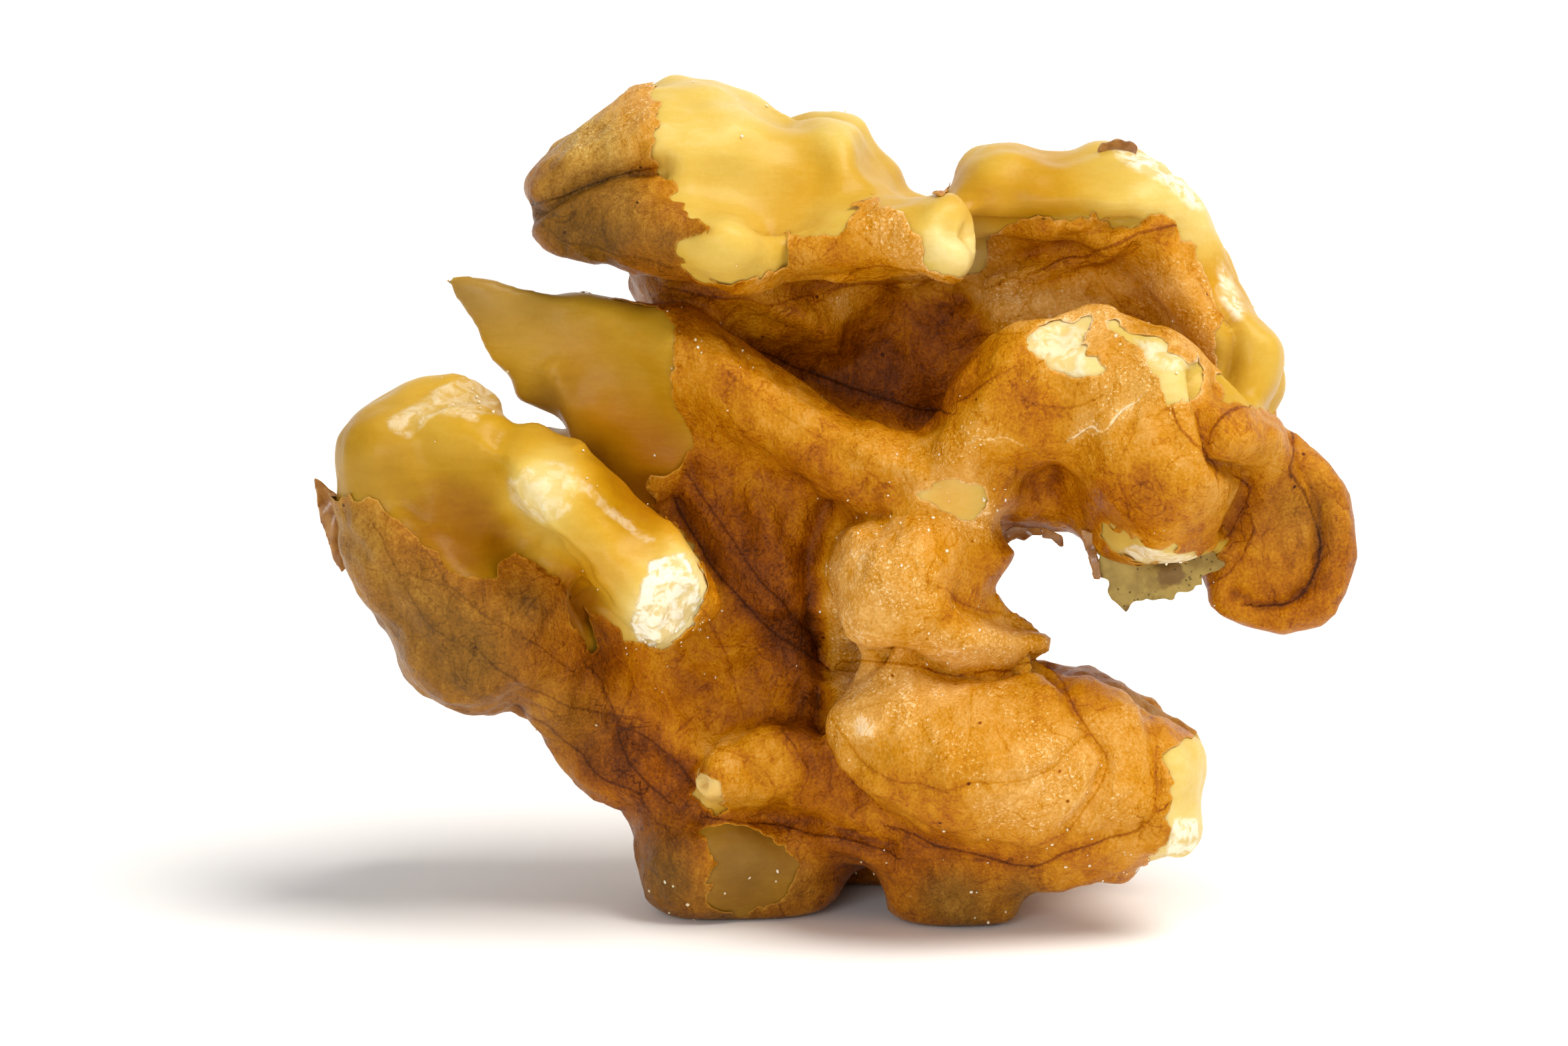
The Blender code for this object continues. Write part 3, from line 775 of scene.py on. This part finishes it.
def drawnOut(points):
    pixels = toPixels(points)
    points = points.copy()
    for x, y, right, down, radius in sum(nudges.values(), []):
        near = np.exp(-((pixels - (x, y)) ** 2).sum(axis=1) / radius ** 2)[:, None] / shot["perMm"]
        points += near * (right * np.array((1, 0, 0)) - down * shotUp)
    return points


def sculpted(points, triangles):
    points = drawnOut(points)
    normals = normalsOf(points, triangles)
    pixels = toPixels(points)
    front = eased(-0.15, 0.25, normals @ shotBack)
    rise = np.zeros(len(points))
    for height, width, line in strokes.values():
        rise += height * np.exp(-(lineDistance(pixels, smoothLine(line)) / width) ** 2) * front
    for spacing, height, seed in flesh["swells"]:
        rise += height * waves(points, spacing, seed)
    spacing, height, seed = flesh["brokenSwell"]
    rise += height * waves(points, spacing, seed) * whiteness(pixels) * front
    standing = eased(0.0, 0.5, points[:, 2])
    return points + normals * (rise * standing)[:, None]


points, triangles = denseSurface(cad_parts["kernel"])
points = sculpted(points, triangles)
points[:, 2] = np.maximum(points[:, 2], 0)
edges = edgesOf(triangles)
normals = normalsOf(points, triangles)
pixels = toPixels(points)
facing = normals @ shotBack
front = eased(-0.85, -0.55, facing)
sunk = ((averaged(points, edges, flesh["broadSteps"]) - points) * normals).sum(axis=1)
hollow = eased(0.02, 0.28, sunk)
ridged = eased(0.02, 0.25, -sunk)
dented = ((averaged(points, edges, flesh["narrowSteps"]) - points) * normals).sum(axis=1)
crease = eased(0.02, 0.14, dented)
print("sculpted the flesh:", len(triangles), "triangles")

bare = np.max([insideBy(pixels, area) for area in bareAreas.values()], axis=0)
behind = swelled(points, bareBehind["swells"])
behindBare = (behind - bareBehind["above"]) * bareBehind["slope"]
bare = front * bare + (1 - front) * behindBare
bare += swelled(points, tornSwells)

# painted light on the flesh: tone lighter on ridges (painted highlight) and darker in creases (painted
# shade), warm stronger in creases (painted shade)
fleshPiece = makePiece("kernel_flesh", points, triangles, fleshMaterial(), {
    "tone": (blended(pixels, fleshPaint["tone"], 0.6) * front + 0.55 * (1 - front)
             + 0.06 * ridged - 0.08 * crease),
    "warm": np.clip(spotted(pixels, fleshPaint["warm"]) * front + 0.15 * crease, 0, 1),
    "dull": spotted(pixels, fleshPaint["dull"]) * front,
    "chalk": whiteness(pixels) * (facing > -0.1),
})


# The skin: a thin sheet over the flesh, cut at its torn edges, which lift a little

skin = {
    "thickness": 0.032,
    "clearance": 0.008,
    "edgeLift": 0.008,
    "liftReach": 0.5,
    "innerReach": 1.0,
    "wrinkles": ((1.3, 0.030, 51), (0.6, 0.014, 52)),
    "liftSwells": ((1.6, 1.5, 53),),
    "deepest": -0.012,
    "gap": 0.004,
    "veinWander": 1.6,  # pixels
}

# Places where the torn edge stands up: x, y, radius in pixels, millimetres of lift
flaps = [(478, 726, 36, 0.5), (868, 966, 36, 0.2), (908, 1000, 34, 0.16), (984, 724, 26, 0.5),
         (1064, 352, 24, 0.35), (1340, 330, 50, 0.3), (760, 826, 34, 0.35), (600, 770, 40, 0.2),
         (1180, 380, 26, 0.25), (1010, 560, 40, 0.15), (1752, 1180, 40, 0.2), (990, 232, 24, 0.3)]

# How light the skin is, place by place: x, y, radius in pixels and the tone there; partly the skin's own
# colour, partly painted shade, darker in the cavity and beside grooves, and painted light, lighter low on
# the right wall where little light reaches
skinPaint = {
    "upperLeft": [(870, 205, 50, 0.84), (940, 140, 40, 0.8), (820, 262, 40, 0.45), (850, 335, 40, 0.3),
                  (960, 310, 40, 0.5), (890, 380, 50, 0.3), (1000, 410, 40, 0.4), (900, 280, 30, 0.4)],
    "patches": [(1200, 390, 40, 0.55), (1330, 350, 36, 0.75), (1290, 400, 36, 0.5), (1390, 400, 34, 0.8)],
    "underside": [(1040, 450, 40, 0.25), (1100, 450, 50, 0.5), (1150, 452, 30, 0.72),
                  (1210, 470, 30, 0.62), (1265, 440, 36, 0.7), (1100, 500, 40, 0.5)],
    "cavity": [(1200, 520, 40, 0.36), (1300, 560, 60, 0.14), (1390, 590, 40, 0.2), (1420, 500, 40, 0.2),
               (1330, 470, 40, 0.4)],
    "rightWall": [(1480, 385, 36, 0.75), (1560, 355, 36, 0.5), (1640, 345, 36, 0.55),
                  (1720, 350, 36, 0.6), (1510, 440, 40, 0.86), (1600, 400, 36, 0.56),
                  (1700, 385, 36, 0.6), (1620, 450, 40, 0.86), (1720, 430, 40, 0.84),
                  (1790, 450, 40, 0.76), (1800, 520, 36, 0.78)],
    "arch": [(1440, 520, 30, 0.3), (1500, 545, 40, 0.5), (1560, 600, 40, 0.4), (1580, 560, 24, 0.75),
             (1630, 610, 40, 0.7), (1700, 575, 34, 0.85), (1620, 500, 24, 0.85), (1770, 590, 24, 0.85),
             (1480, 620, 34, 0.62), (1540, 655, 34, 0.46), (1640, 680, 40, 0.62), (1750, 660, 50, 0.68),
             (1705, 745, 40, 0.42), (1660, 780, 36, 0.44), (1580, 720, 34, 0.42), (1540, 765, 34, 0.5),
             (1500, 705, 34, 0.5), (1450, 665, 40, 0.7)],
    "right": [(1870, 660, 40, 0.6), (1920, 640, 36, 0.6), (1960, 720, 36, 0.55), (1900, 760, 40, 0.44),
              (1880, 825, 40, 0.48), (1930, 880, 40, 0.4), (1995, 830, 36, 0.4), (2000, 740, 36, 0.5),
              (1836, 740, 36, 0.66)],
    "fan": [(1050, 530, 36, 0.62), (1120, 575, 36, 0.55), (1200, 610, 40, 0.68), (1290, 660, 40, 0.64),
            (1370, 710, 36, 0.68), (1060, 620, 36, 0.52), (1140, 660, 40, 0.5), (1220, 715, 36, 0.4),
            (1040, 690, 30, 0.38)],
    "wall": [(1040, 760, 34, 0.3), (1100, 805, 36, 0.2), (1160, 840, 36, 0.22), (1110, 890, 40, 0.28),
             (1060, 900, 30, 0.6), (1100, 985, 40, 0.46), (1180, 950, 40, 0.04), (1196, 890, 24, 0.3),
             (1220, 800, 34, 0.38), (1265, 765, 34, 0.45), (1150, 1035, 36, 0.4), (1225, 1050, 36, 0.16),
             (1060, 1050, 36, 0.42), (985, 1000, 34, 0.58)],
    "bulgeEdge": [(1258, 850, 18, 0.9), (1254, 900, 18, 0.86), (1262, 950, 18, 0.8),
                  (1268, 806, 18, 0.86), (1216, 830, 20, 0.26), (1214, 890, 20, 0.2),
                  (1222, 940, 18, 0.2), (1252, 985, 16, 0.7)],
    "bulge": [(1290, 830, 36, 0.92), (1345, 800, 34, 0.8), (1400, 800, 34, 0.72), (1285, 920, 36, 0.88),
              (1360, 900, 36, 0.82), (1432, 850, 34, 0.66), (1440, 905, 30, 0.6), (1340, 965, 34, 0.76),
              (1430, 975, 30, 0.88), (1505, 960, 30, 0.82), (1560, 962, 24, 0.7), (1460, 790, 30, 0.75),
              (1474, 845, 26, 0.46)],
    "junction": [(1330, 745, 30, 0.5), (1470, 765, 26, 0.85), (1440, 700, 34, 0.8)],
    "lobeEdge": [(1262, 1030, 22, 0.96), (1256, 1078, 20, 0.95), (1276, 1146, 20, 0.84),
                 (1306, 1180, 16, 0.7), (1206, 1030, 20, 0.2), (1200, 1088, 20, 0.24),
                 (1224, 1152, 20, 0.3), (1268, 1208, 18, 0.3)],
    "lobe": [(1290, 1035, 36, 0.9), (1300, 1094, 14, 1.2), (1262, 1096, 18, 0.85), (1270, 1124, 24, 0.64),
             (1360, 1050, 40, 0.86), (1450, 1070, 50, 0.78), (1540, 1060, 40, 0.66),
             (1350, 1135, 40, 0.6), (1450, 1130, 40, 0.66), (1560, 1130, 44, 0.8), (1310, 1185, 36, 0.52),
             (1400, 1210, 40, 0.55), (1500, 1220, 40, 0.78), (1580, 1200, 40, 0.84),
             (1640, 1150, 36, 0.74), (1690, 1085, 40, 0.7), (1720, 1150, 36, 0.64), (1690, 1225, 36, 0.7),
             (1600, 1285, 34, 0.56), (1500, 1290, 34, 0.36), (1400, 1275, 36, 0.32),
             (1320, 1230, 30, 0.36), (1645, 1030, 30, 0.48)],
    "knob": [(1080, 1120, 26, 0.72), (1135, 1140, 30, 0.55), (1180, 1180, 30, 0.55),
             (1115, 1200, 26, 0.64)],
    "below": [(1000, 1180, 40, 0.25), (925, 1120, 40, 0.16), (880, 1060, 36, 0.42), (965, 1040, 36, 0.42),
              (1000, 1260, 36, 0.22), (950, 1230, 30, 0.36), (1220, 1220, 36, 0.38),
              (1285, 1290, 34, 0.26), (1380, 1300, 36, 0.3), (1460, 1330, 30, 0.5),
              (1260, 1180, 30, 0.38), (1000, 1330, 50, 0.38), (1190, 1330, 40, 0.42),
              (1100, 1375, 50, 0.42), (1400, 1345, 40, 0.42), (1530, 1340, 40, 0.45),
              (1460, 1385, 40, 0.42)],
    "left": [(500, 780, 40, 0.56), (545, 850, 44, 0.52), (600, 900, 44, 0.47), (645, 840, 40, 0.4),
             (685, 925, 44, 0.35), (740, 880, 40, 0.4), (700, 1010, 44, 0.42), (765, 985, 40, 0.38),
             (815, 960, 36, 0.38), (825, 1015, 36, 0.42), (885, 990, 30, 0.28)],
}

# Where the skin is dry and greyish: x, y, radius in pixels and how much
dryPaint = [(600, 900, 120, 0.95), (700, 1000, 100, 0.9), (520, 790, 60, 0.9), (880, 300, 90, 0.75),
            (850, 1080, 70, 0.6), (800, 900, 50, 0.6), (1950, 780, 70, 0.6), (990, 1270, 50, 0.4),
            (1200, 390, 30, 0.3), (1710, 575, 40, 0.4), (880, 210, 60, 1.0), (880, 330, 90, 0.9),
            (1010, 370, 50, 0.6), (1440, 1335, 40, 0.6), (1000, 1330, 60, 0.9), (1190, 1330, 50, 0.7),
            (1100, 1380, 60, 0.9), (1400, 1345, 40, 0.7), (1535, 1340, 40, 0.8), (1460, 1385, 50, 0.8)]

# Where dark pores stand closer together: x, y, radius in pixels and how much closer
speckPaint = [(1150, 560, 30, 0.5), (1220, 610, 30, 0.6), (1290, 655, 30, 0.6), (1370, 705, 34, 0.8),
              (1400, 735, 24, 0.5), (1250, 610, 20, 0.4), (640, 880, 80, 0.25), (1110, 880, 60, 0.3),
              (1470, 820, 30, 0.6), (1930, 700, 60, 0.3), (1500, 1090, 90, 0.15), (1180, 980, 40, 0.3)]

# Veins, and creases darkened with painted shade along them, that show as darker lines: how dark, then the
# line in pixels
veinAndCreaseShadeLines = [
    (0.62, [(1491, 424), (1560, 402), (1640, 377), (1700, 354), (1755, 337)]),
    (0.31, [(1600, 400), (1660, 390), (1700, 372)]),
    (0.31, [(1640, 378), (1650, 420), (1690, 470), (1740, 500)]),
    (0.25, [(1540, 405), (1530, 440), (1560, 480)]),
    (0.43, [(1005, 432), (1090, 446), (1180, 452), (1260, 430), (1390, 418)]),
    (0.37, [(1180, 470), (1230, 450), (1290, 400), (1380, 404), (1470, 430)]),
    (0.56, [(1120, 520), (1220, 560), (1330, 600), (1420, 620)]),
    (0.34, [(1252, 1080), (1290, 1135), (1330, 1165), (1400, 1180), (1450, 1175), (1560, 1160),
            (1600, 1130), (1624, 1100)]),
    (0.25, [(1455, 1010), (1460, 1060), (1456, 1110)]),
    (0.43, [(1572, 998), (1603, 1042), (1628, 1092), (1658, 1130), (1656, 1165), (1634, 1204),
            (1597, 1247), (1560, 1262)]),
    (0.22, [(1360, 1050), (1330, 1056), (1300, 1062)]),
    (0.19, [(1500, 1172), (1490, 1210), (1500, 1240)]),
    (0.25, [(1716, 1060), (1732, 1110), (1734, 1190), (1716, 1240)]),
    (0.62, [(1340, 1240), (1420, 1268), (1500, 1288), (1560, 1292), (1620, 1268), (1700, 1246),
            (1740, 1210)]),
    (0.56, [(1262, 988), (1300, 990), (1351, 995), (1419, 1011), (1487, 1005), (1562, 986)]),
    (0.25, [(1395, 780), (1400, 830), (1390, 870), (1430, 890)]),
    (0.37, [(1400, 880), (1440, 902), (1480, 918), (1540, 930)]),
    (0.56, [(1754, 606), (1764, 632), (1790, 664), (1818, 690), (1824, 716)]),
    (0.25, [(1700, 640), (1680, 700), (1690, 760), (1720, 820)]),
    (0.22, [(1640, 660), (1660, 700), (1650, 760)]),
    (0.62, [(1812, 650), (1836, 622), (1880, 608), (1920, 618), (1936, 660), (1930, 700)]),
    (0.62, [(1930, 700), (1952, 740), (1976, 800), (1968, 870), (1930, 904), (1880, 908)]),
    (0.43, [(1810, 880), (1850, 850), (1880, 800), (1876, 760)]),
    (0.5, [(1840, 806), (1862, 770), (1876, 730), (1850, 715)]),
    (0.56, [(1012, 750), (1060, 830), (1110, 900), (1180, 960), (1240, 1005)]),
    (0.43, [(1030, 705), (1090, 800), (1150, 880), (1210, 950)]),
    (0.31, [(1000, 800), (1050, 900), (1090, 980), (1110, 1060)]),
    (0.25, [(1110, 640), (1180, 700), (1260, 740)]),
    (0.22, [(1090, 560), (1160, 610), (1240, 660), (1320, 700)]),
    (0.31, [(560, 790), (600, 860), (640, 930), (720, 990)]),
    (0.25, [(640, 830), (700, 900), (790, 960), (850, 1000)]),
    (0.22, [(600, 862), (660, 872), (700, 900)]),
    (0.37, [(700, 960), (760, 1010), (860, 1060), (960, 1080)]),
    (0.43, [(780, 1060), (840, 1100), (900, 1160), (960, 1190)]),
    (0.43, [(880, 1000), (920, 1060), (940, 1140), (1000, 1200)]),
    (0.31, [(900, 1080), (980, 1110), (1040, 1170), (1060, 1210)]),
    (0.5, [(800, 308), (860, 286), (930, 262), (992, 244)]),
    (0.25, [(800, 330), (850, 360), (940, 380), (1010, 400)]),
    (0.25, [(1060, 1110), (1120, 1140), (1160, 1180), (1150, 1210)]),
    (0.25, [(1170, 1090), (1210, 1150), (1200, 1190)]),
    (0.5, [(1060, 1225), (1160, 1240), (1280, 1262), (1340, 1280)]),
    (0.31, [(1440, 520), (1480, 500), (1530, 500)]),
    (0.31, [(1500, 560), (1540, 600), (1600, 610), (1640, 600)]),
    (0.37, [(1440, 600), (1470, 580), (1510, 560)]),
    (-0.8, [(1610, 655), (1640, 640), (1655, 648), (1680, 618), (1704, 598)]),
    (-0.6, [(1470, 660), (1500, 654), (1530, 664)]),
]

tone = blended(pixels, sum(skinPaint.values(), []), 0.5) * front
# painted light and shade: behind, lighter on ridges (painted highlight) and darker in hollows (painted
# shade); everywhere darker in creases (painted shade)
tone += (1 - front) * (0.5 + 0.12 * waves(points, 5.0, 61) + 0.15 * ridged - 0.2 * hollow)
tone -= 0.16 * crease
dry = front * spotted(pixels, dryPaint) + (1 - front) * 0.6 * eased(0, 1.5, waves(points, 7.0, 64))
speck = front * spotted(pixels, speckPaint)
wandered = pixels + skin["veinWander"] * np.column_stack([waves(points, 1.6, seed) for seed in (71, 72)])
veinAndCreaseShadeSide, veinAndCreaseShadeStrength = lineFields(wandered, veinAndCreaseShadeLines)
veinAndCreaseShadeStrength *= front
carried, skinTriangles, rim = cutOut(points, triangles, -bare)
skinPoints, skinNormals, covered = carried(points), carried(normals), carried(-bare)
skinNormals /= np.linalg.norm(skinNormals, axis=1, keepdims=True)
skinPixels = toPixels(skinPoints)
lift = skin["edgeLift"] * (1 + swelled(skinPoints, skin["liftSwells"]))
seen = skinNormals @ shotBack > 0
for x, y, radius, amount in flaps:
    lift += amount * np.exp(-((skinPixels - (x, y)) ** 2).sum(axis=1) / radius ** 2) * seen
lift = np.maximum(lift, 0) * np.exp(-np.maximum(covered, 0) / skin["liftReach"])
puckers = swelled(skinPoints, skin["wrinkles"])
thin = 0.4 + 0.6 * eased(0, 0.3, covered)
height = skin["clearance"] + skin["thickness"] * thin + lift + np.maximum(puckers, skin["deepest"])
standing = eased(0.05, 0.6, skinPoints[:, 2])
outer = skinPoints + skinNormals * (height * standing + skin["gap"])[:, None]
inner = skinPoints + skinNormals * ((height - skin["thickness"] * thin) * standing)[:, None]
nearRim = (covered < skin["innerReach"])[skinTriangles].all(axis=1)
lining = skinTriangles[nearRim][:, ::-1]
liningPoints, where = np.unique(lining, return_inverse=True)
liningAt = np.full(len(outer), -1)
liningAt[liningPoints] = np.arange(len(liningPoints)) + len(outer)
sides = np.vstack([np.column_stack([rim[:, 1], rim[:, 0], liningAt[rim[:, 0]]]),
                   np.column_stack([rim[:, 1], liningAt[rim[:, 0]], liningAt[rim[:, 1]]])])
sides = sides[(sides >= 0).all(axis=1)]


def withLining(values):
    return np.concatenate([values, values[liningPoints]])


skinPiece = makePiece(
    "kernel_skin", np.concatenate([outer, inner[liningPoints]]),
    np.vstack([skinTriangles, where.reshape(-1, 3) + len(outer), sides]), skinMaterial(),
    {
        "edge": withLining(np.clip(covered, 0, 2)),
        "tone": withLining(carried(tone)),
        "dull": withLining(carried(np.clip(dry, 0, 1))),
        "speck": withLining(carried(speck)),
        "vein_and_crease_shade_side": withLining(carried(veinAndCreaseShadeSide)),
        "vein_and_crease_shade_strength": withLining(carried(veinAndCreaseShadeStrength)),
    })
print("laid the skin:", len(skinPiece.data.polygons), "triangles")

# Loose bits: a pale flake of husk in the notch, and skin flakes that stand off the edge

husk = {
    "outline": [(1649, 806), (1640, 860), (1662, 869), (1665, 900), (1689, 915), (1704, 903), (1720, 895),
                (1741, 900), (1757, 894), (1788, 887), (1791, 874), (1812, 862), (1836, 846), (1800, 820),
                (1720, 800)],
    "depth": -3.1,
    "thickness": 0.09,
    "ragged": 0.05,
    "seed": 81,
}
flake = {"thickness": 0.05, "ragged": 0.015, "seed": 83}
skinFlakes = {
    "leftTip": (-1.3, [(469, 711), (482, 722), (492, 733), (512, 748), (540, 760), (540, 830), (512, 860),
                       (500, 836), (488, 800), (479, 770), (476, 744)]),
    "rightTop": (0.4, [(1646, 226), (1652, 216), (1672, 211), (1694, 212), (1706, 221), (1702, 234),
                       (1680, 236)]),
    "notchBit": (-1.6, [(1560, 790), (1580, 794), (1592, 804), (1597, 822), (1588, 820), (1577, 808),
                        (1564, 806)]),
    "notchTuft": (-1.4, [(1500, 800), (1522, 788), (1560, 792), (1566, 804), (1546, 802), (1536, 810),
                         (1524, 806), (1508, 816)]),
    "huskSpine": (-3.3, [(1620, 792), (1640, 800), (1646, 836), (1650, 868), (1641, 866), (1632, 838)]),
}


def flakeOf(depth, outline, kind, count=0):
    return thickened(*sheetTo(outline, depth, kind["seed"] + count, kind["ragged"]), kind["thickness"])


huskPiece = makePiece("kernel_husk_flake", *flakeOf(husk["depth"], husk["outline"], husk), huskMaterial())
flakes = [flakeOf(depth, outline, flake, k) for k, (depth, outline) in enumerate(skinFlakes.values())]
flakePiece = makePiece("kernel_skin_flakes", *gathered(flakes),
                       plainMaterial("dull_skin", "#a87c44", "#7c4e1e", 0.7, 0.2))
print("added the flakes")


# Crumbs of broken flesh, scattered most thickly near the breaks

crumbs = {
    "perMm2": 7.0,
    "smallest": 0.018,
    "largest": 0.075,
    "seed": 5,
    "everywhere": 0.006,
    "height": 0.05,
    "spots": [(1010, 985, 46, 0.5), (1052, 930, 24, 0.9), (960, 975, 26, 0.5), (1030, 500, 44, 0.35),
              (1090, 540, 50, 0.15), (1400, 740, 60, 0.35), (1470, 780, 40, 0.3), (1300, 760, 60, 0.2),
              (1250, 900, 50, 0.12), (1020, 1362, 50, 0.15), (1110, 1376, 60, 0.15),
              (1450, 1376, 60, 0.15), (1700, 1290, 50, 0.35), (1560, 500, 50, 0.2), (1750, 520, 50, 0.2),
              (1740, 840, 60, 0.2), (680, 600, 60, 0.15), (1350, 1310, 50, 0.2), (1450, 960, 60, 0.12),
              (1600, 1240, 80, 0.1)],
}


def crumbTree(material):
    tree = bpy.data.node_groups.new("scatterCrumbs", "GeometryNodeTree")
    sockets = {"Geometry": "Geometry", "Density": "Float", "Smallest": "Float", "Largest": "Float",
               "Seed": "Int"}
    for name, kind in sockets.items():
        tree.interface.new_socket(name, in_out="INPUT", socket_type="NodeSocket" + kind)
    tree.interface.new_socket("Geometry", in_out="OUTPUT", socket_type="NodeSocketGeometry")
    given = addNode(tree, "NodeGroupInput").outputs
    thick = addNode(tree, "GeometryNodeInputNamedAttribute", {"Name": "crumb"}).outputs["Attribute"]
    density = joined(tree, "MULTIPLY", given["Density"], thick)
    spread = addNode(tree, "GeometryNodeDistributePointsOnFaces",
                     links={"Mesh": given["Geometry"], "Density": density, "Seed": given["Seed"]})
    size = addNode(tree, "FunctionNodeRandomValue", {"data_type": "FLOAT"})
    stretch = addNode(tree, "FunctionNodeRandomValue", {"data_type": "FLOAT_VECTOR"})
    turn = addNode(tree, "FunctionNodeRandomValue", {"data_type": "FLOAT_VECTOR"})
    tree.links.new(given["Smallest"], size.inputs[2])
    tree.links.new(given["Largest"], size.inputs[3])
    stretch.inputs[0].default_value = (0.5, 0.5, 0.4)
    stretch.inputs[1].default_value = (1.2, 1.2, 0.9)
    turn.inputs[1].default_value = (math.tau, math.tau, math.tau)
    scaled = addNode(tree, "ShaderNodeVectorMath", {"operation": "SCALE"},
                     {"Vector": stretch.outputs[0], "Scale": size.outputs[1]})
    grain = addNode(tree, "GeometryNodeMeshIcoSphere", {"Radius": 1.0, "Subdivisions": 1})
    placed = addNode(tree, "GeometryNodeInstanceOnPoints",
                     links={"Points": spread.outputs["Points"], "Instance": grain.outputs["Mesh"],
                            "Rotation": turn.outputs[0], "Scale": scaled.outputs["Vector"]})
    whole = addNode(tree, "GeometryNodeRealizeInstances", links={"Geometry": placed.outputs["Instances"]})
    dressed = addNode(tree, "GeometryNodeSetMaterial", {"Material": material},
                      {"Geometry": whole.outputs["Geometry"]})
    addNode(tree, "NodeGroupOutput", links={"Geometry": dressed.outputs["Geometry"]})
    return tree


crumbMaterial = plainMaterial("kernel_crumb", "#fbf3dc", "#e8cf98", 0.3, 0.6, 0.35)
bed = np.clip(crumbs["everywhere"] + spotted(pixels, crumbs["spots"]) * (facing > 0.05), 0, 1)
crumbPiece = makePiece("kernel_crumbs", points + normals * crumbs["height"], triangles, crumbMaterial,
                       {"crumb": bed})
scatter = crumbPiece.modifiers.new("scatter", "NODES")
scatter.node_group = crumbTree(crumbMaterial)
sockets = {item.name: item.identifier for item in scatter.node_group.interface.items_tree
           if item.in_out == "INPUT"}
scatter[sockets["Density"]] = crumbs["perMm2"] / mm ** 2
scatter[sockets["Smallest"]] = crumbs["smallest"] * mm
scatter[sockets["Largest"]] = crumbs["largest"] * mm
scatter[sockets["Seed"]] = crumbs["seed"]
baked(crumbPiece)
print("scattered the crumbs:", len(crumbPiece.data.polygons), "triangles")


# Everything rides on the one body, and the dressed kernel stands for its solid

for piece in (fleshPiece, skinPiece, huskPiece, flakePiece, crumbPiece):
    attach(piece, "root")
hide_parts("kernel")


# The plain stage: a pale floor that curves up behind, soft light from above, the photograph's view

stage = {
    "floorReach": 2.4,
    "curveRadius": 0.4,
    "curveSteps": 12,
    "wallHeight": 1.6,
    "lightsAim": (0, 0, 0.012),
    "keyPlace": (0.92, -0.50, 1.80),
    "keySize": 1.5,
    "keyPower": 47.0,
    "fillPlace": (-0.55, -1.85, 0.5),
    "fillSize": 1.0,
    "fillPower": 13.0,
    "worldStrength": 0.38,
}


def makeFloor():
    material = newMaterial("pale_floor", {"Base Color": linearColour("#fdfdfd"), "Roughness": 0.9,
                                          "Specular IOR Level": 0.1})[0]
    reach, radius, steps = stage["floorReach"], stage["curveRadius"], stage["curveSteps"]
    profile = [(-reach, 0.0)]
    for k in range(steps + 1):
        turn = math.pi / 2 * k / steps
        profile.append((reach * 0.5 + radius * math.sin(turn), radius - radius * math.cos(turn)))
    profile.append((reach * 0.5 + radius, stage["wallHeight"]))
    points = [(side * reach, y, z) for y, z in profile for side in (-1, 1)]
    faces = [(2 * i, 2 * i + 1, 2 * i + 3, 2 * i + 2) for i in range(len(profile) - 1)]
    data = bpy.data.meshes.new("stage_floor")
    data.from_pydata(points, [], faces)
    data.materials.append(material)
    data.shade_smooth()
    floor = bpy.data.objects.new("stage_floor", data)
    bpy.context.scene.collection.objects.link(floor)


def makeLight(name, place, size, power, colour="#ffffff"):
    light = bpy.data.lights.new(name, "AREA")
    light.shape = "DISK"
    light.size = size
    light.energy = power
    light.color = linearColour(colour)[:3]
    lamp = bpy.data.objects.new(name, light)
    lamp.location = place
    lamp.rotation_mode = "QUATERNION"
    lamp.rotation_quaternion = (Vector(stage["lightsAim"]) - Vector(place)).to_track_quat("-Z", "Y")
    bpy.context.scene.collection.objects.link(lamp)


def makeCamera():
    data = bpy.data.cameras.new("camera")
    data.sensor_width = 36
    data.lens = 36 * shot["distance"] / (shot["size"][0] / shot["perMm"])
    data.clip_start = 0.01
    data.clip_end = 20
    camera = bpy.data.objects.new("camera", data)
    camera.location = Vector((shot["aim"] + shotBack * shot["distance"]) * mm)
    camera.rotation_mode = "QUATERNION"
    camera.rotation_quaternion = Vector(-shotBack).to_track_quat("-Z", "Y")
    bpy.context.scene.collection.objects.link(camera)
    bpy.context.scene.camera = camera


makeFloor()
makeLight("key_light", stage["keyPlace"], stage["keySize"], stage["keyPower"], "#fffaf2")
makeLight("fill_light", stage["fillPlace"], stage["fillSize"], stage["fillPower"])
makeCamera()
world = bpy.data.worlds.new("world")
world.use_nodes = True
world.node_tree.nodes["Background"].inputs["Color"].default_value = (1, 1, 1, 1)
world.node_tree.nodes["Background"].inputs["Strength"].default_value = stage["worldStrength"]
bpy.context.scene.world = world
bpy.context.scene.view_settings.view_transform = "Standard"
print("set the stage")
